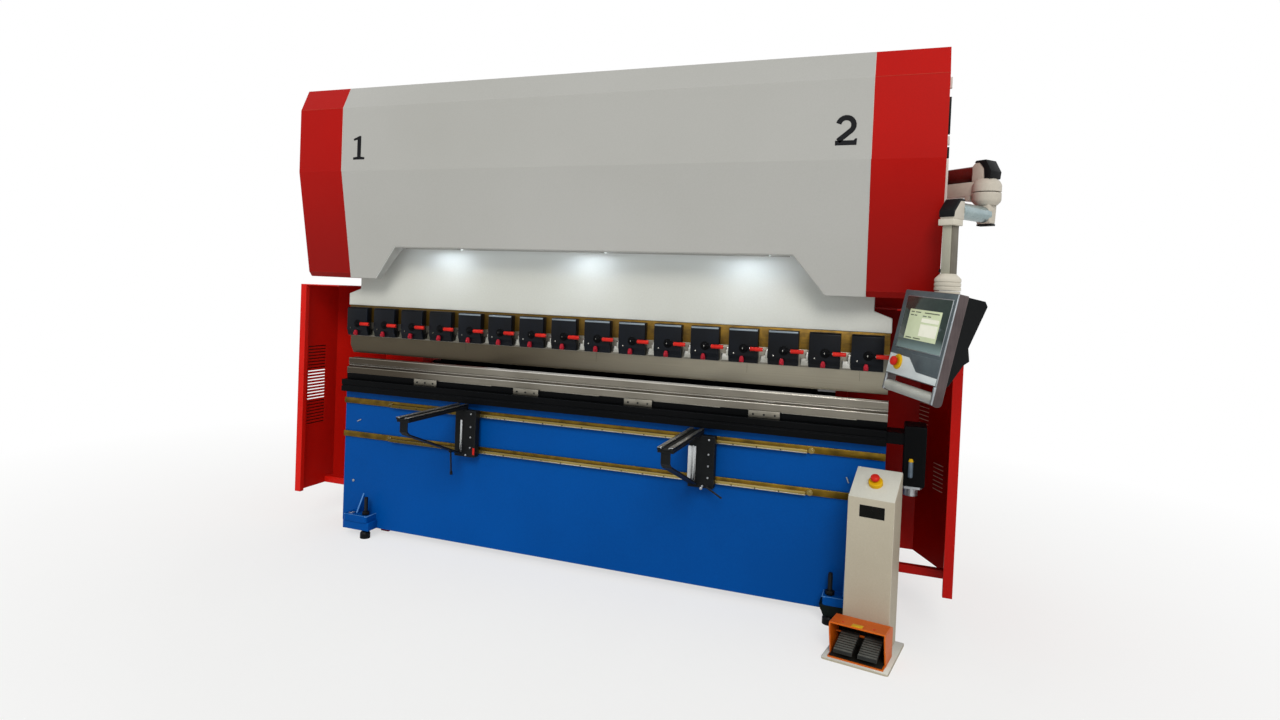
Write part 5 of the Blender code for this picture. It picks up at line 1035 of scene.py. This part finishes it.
piece("display_fields", cards, light_field, "pendant", on_face)
# Polycarbonate film over the keys: clean cool white, matt
white_panel = finish("white_polycarbonate_film", "#DCE3E3", "#D0D8D8", (0.36, 0.46), (4, 4, 4), 0.02, 90,
                     fixed={"IOR": 1.58})
panel("white_keypad_film", [(-0.1965, -0.282), (-0.036, -0.286), (0.039, -0.338), (0.1965, -0.341),
                            (0.1965, -0.3685), (-0.1965, -0.3685)], 0.0018, white_panel)
panel("grey_keypad_film", [(-0.026, -0.268), (0.192, -0.268), (0.192, -0.331), (0.043, -0.331)], 0.0018,
      case_grey)
ring = bmesh.new()
lathe(ring, [(0.0, 0.0108), (0.029, 0.0108), (0.0330, 0.0070), (0.0335, 0.0005), (0.0, 0.0005)],
      Matrix.Translation((-0.118, -0.320, 0.0)), 40)
piece("pendant_stop_ring", ring, yellow_plastic, "pendant", on_face)
# Pale satin aluminium strips along the case's right edge and the grip's ends, as painted highlight
edge_highlights = bmesh.new()
block(edge_highlights, (CASE_HALF - 0.0035, CASE_HALF + 0.0004), (CASE_LOW, -0.002), (-0.004, 0.0006), 0.0004)
for side in (-1, 1):
    block(edge_highlights, (side * GRIP_X - 0.0075, side * GRIP_X + 0.0070), (-0.452, CASE_LOW),
          (-0.006, 0.0006), 0.0012)
piece("pendant_edge_highlights", edge_highlights, frame_silver, "pendant", on_face)

# Pedestal: folded sheet in cream powder coat, bolted to a foot plate. It carries a dark window
# and a stop button, a yellow ring with a red mushroom head.
PIN_FORWARD = 0.130
TOP_SLOPE = math.atan2(0.109, 0.164)
TOP_MIDDLE = 0.7405
pin = (Vector(hinges["left_pedal_press"]["pos_m"]) + Vector(hinges["right_pedal_press"]["pos_m"])) / 2
pin_axis = Vector(hinges["left_pedal_press"]["axis"])
stand = Matrix.Translation((pin.x, pin.y, 0.0)) @ Matrix.Rotation(math.atan2(pin_axis.y, pin_axis.x), 4, "Z")
stand = stand @ Matrix.Translation((0.0, PIN_FORWARD, 0.0))
# Cream sheet: warm and matt. Its top and its foot face the light and look paler, as painted light.
stand_cream = finish("cream_folded_sheet", "#B6AF9D", "#ABA391", (0.36, 0.48), (6, 6, 6), 0.10, 500,
                     rub_and_highlight="#D5D1C6", fixed={"IOR": 1.5})
lit_top = finish("pale_top_painted_light", "#D2D2C8", "#C6C5BA", (0.34, 0.46), (6, 6, 6), 0.08, 300, rub_and_highlight="#E6E4DA")
dress(stand_cream, "pedestal")
tops = bmesh.new()
block(tops, (-0.1005, 0.1005), (-0.0965, 0.0965), (-0.0003, 0.0009), 0.0004,
      Matrix.Translation((0.0, 0.0, TOP_MIDDLE)) @ Matrix.Rotation(TOP_SLOPE, 4, "X"))
block(tops, (-0.1400, 0.1400), (-0.2780, 0.0850), (0.0078, 0.0086), 0.0004)
piece("pedestal_painted_light_faces", tops, lit_top, "machine", stand)
# Smoked acrylic: almost black, with a sharp shine
window_glass = finish("smoked_acrylic", "#0C0C0A", "#070706", (0.05, 0.10), (30, 30, 30), 0.0, 60,
                      fixed={"IOR": 1.49})
dress(window_glass, "pedestal_window")
dress(yellow_plastic, "stop_base")
dress(red_plastic, "stop_button")

# Foot switch: an orange enamelled hood of folded sheet, screwed over a black switch body whose
# plates also stand as painted shade inside the hood. Two pedals with ribbed rubber treads turn on
# pins inside it.
PEDAL_X = 0.052
PIN_Z = 0.080
RIB_FIRST = 0.016
RIB_PITCH = 0.0165
RIB_HALF = 0.0385
TREAD_SLOPE = 0.236
HOOD_SCREW_X = 0.066
# Ribbed rubber: the rib tops are mid grey, paler than the black pedals
rubber_grey = finish("grey_ribbed_rubber", "#5A5B57", "#484945", (0.50, 0.64), (4, 4, 4), 0.15, 40)
for side, body in ((-1, "left_pedal"), (1, "right_pedal")):
    ribs = bmesh.new()
    for k in range(8):
        reach = RIB_FIRST + RIB_PITCH * k
        rib_z = 0.0055 - TREAD_SLOPE * reach
        rod(ribs, [(-RIB_HALF, -reach, rib_z), (RIB_HALF, -reach, rib_z)], 0.0052, sides=10)
    piece(body + "_ribs", ribs, rubber_grey, body,
          stand @ Matrix.Translation((side * PEDAL_X, -PIN_FORWARD, PIN_Z)))
on_hood = Matrix.Translation((0.0, -0.130, 0.156)) @ Matrix.Rotation(-math.atan2(0.006, 0.122), 4, "X")
hood_screws = bmesh.new()
for x in (-HOOD_SCREW_X, HOOD_SCREW_X):
    lathe(hood_screws, [(0.0, 0.0020), (0.0045, 0.0015), (0.0055, -0.001), (0.0, -0.001)],
          on_hood @ Matrix.Translation((x, -0.088, 0.0)), 14)
piece("hood_screws", hood_screws, red_plastic, "machine", stand)
patch = bmesh.new()
block(patch, (-0.026, 0.020), (-0.116, -0.078), (-0.0005, 0.0007), 0.0003, on_hood)
piece("hood_patch", patch, yellow_plastic, "machine", stand)
# Dull black plates of the switch body, painted shade in the hood's tray and back
shade_body_paint = finish("black_switch_body_painted_shade", "#24231F", "#181815", (0.5, 0.64), (5, 5, 5), 0.12, 60)
shade_plates = bmesh.new()
block(shade_plates, (-0.112, 0.112), (-0.2600, -0.0960), (0.0175, 0.0190), 0.0005)
block(shade_plates, (-0.112, 0.112), (-0.0965, -0.0945), (0.0190, 0.1250), 0.0005)
piece("pedal_switch_body_shade", shade_plates, shade_body_paint, "machine", stand)
# Orange enamel with pale rubbed edges, and black rubber that stays dull
orange_enamel = finish("orange_enamel", "#D2620F", "#C4560A", (0.30, 0.42), (8, 8, 8), 0.10, 120,
                       rub_and_highlight="#E88A4C")
dress(orange_enamel, "pedal_guard")
rubber = finish("black_ribbed_rubber", "#2A2B2A", "#1E1F1E", (0.55, 0.70), (4, 4, 4), 0.20, 60,
                rub_and_highlight="#4A4B48")
dress(rubber, "pedal_left", "pedal_right")
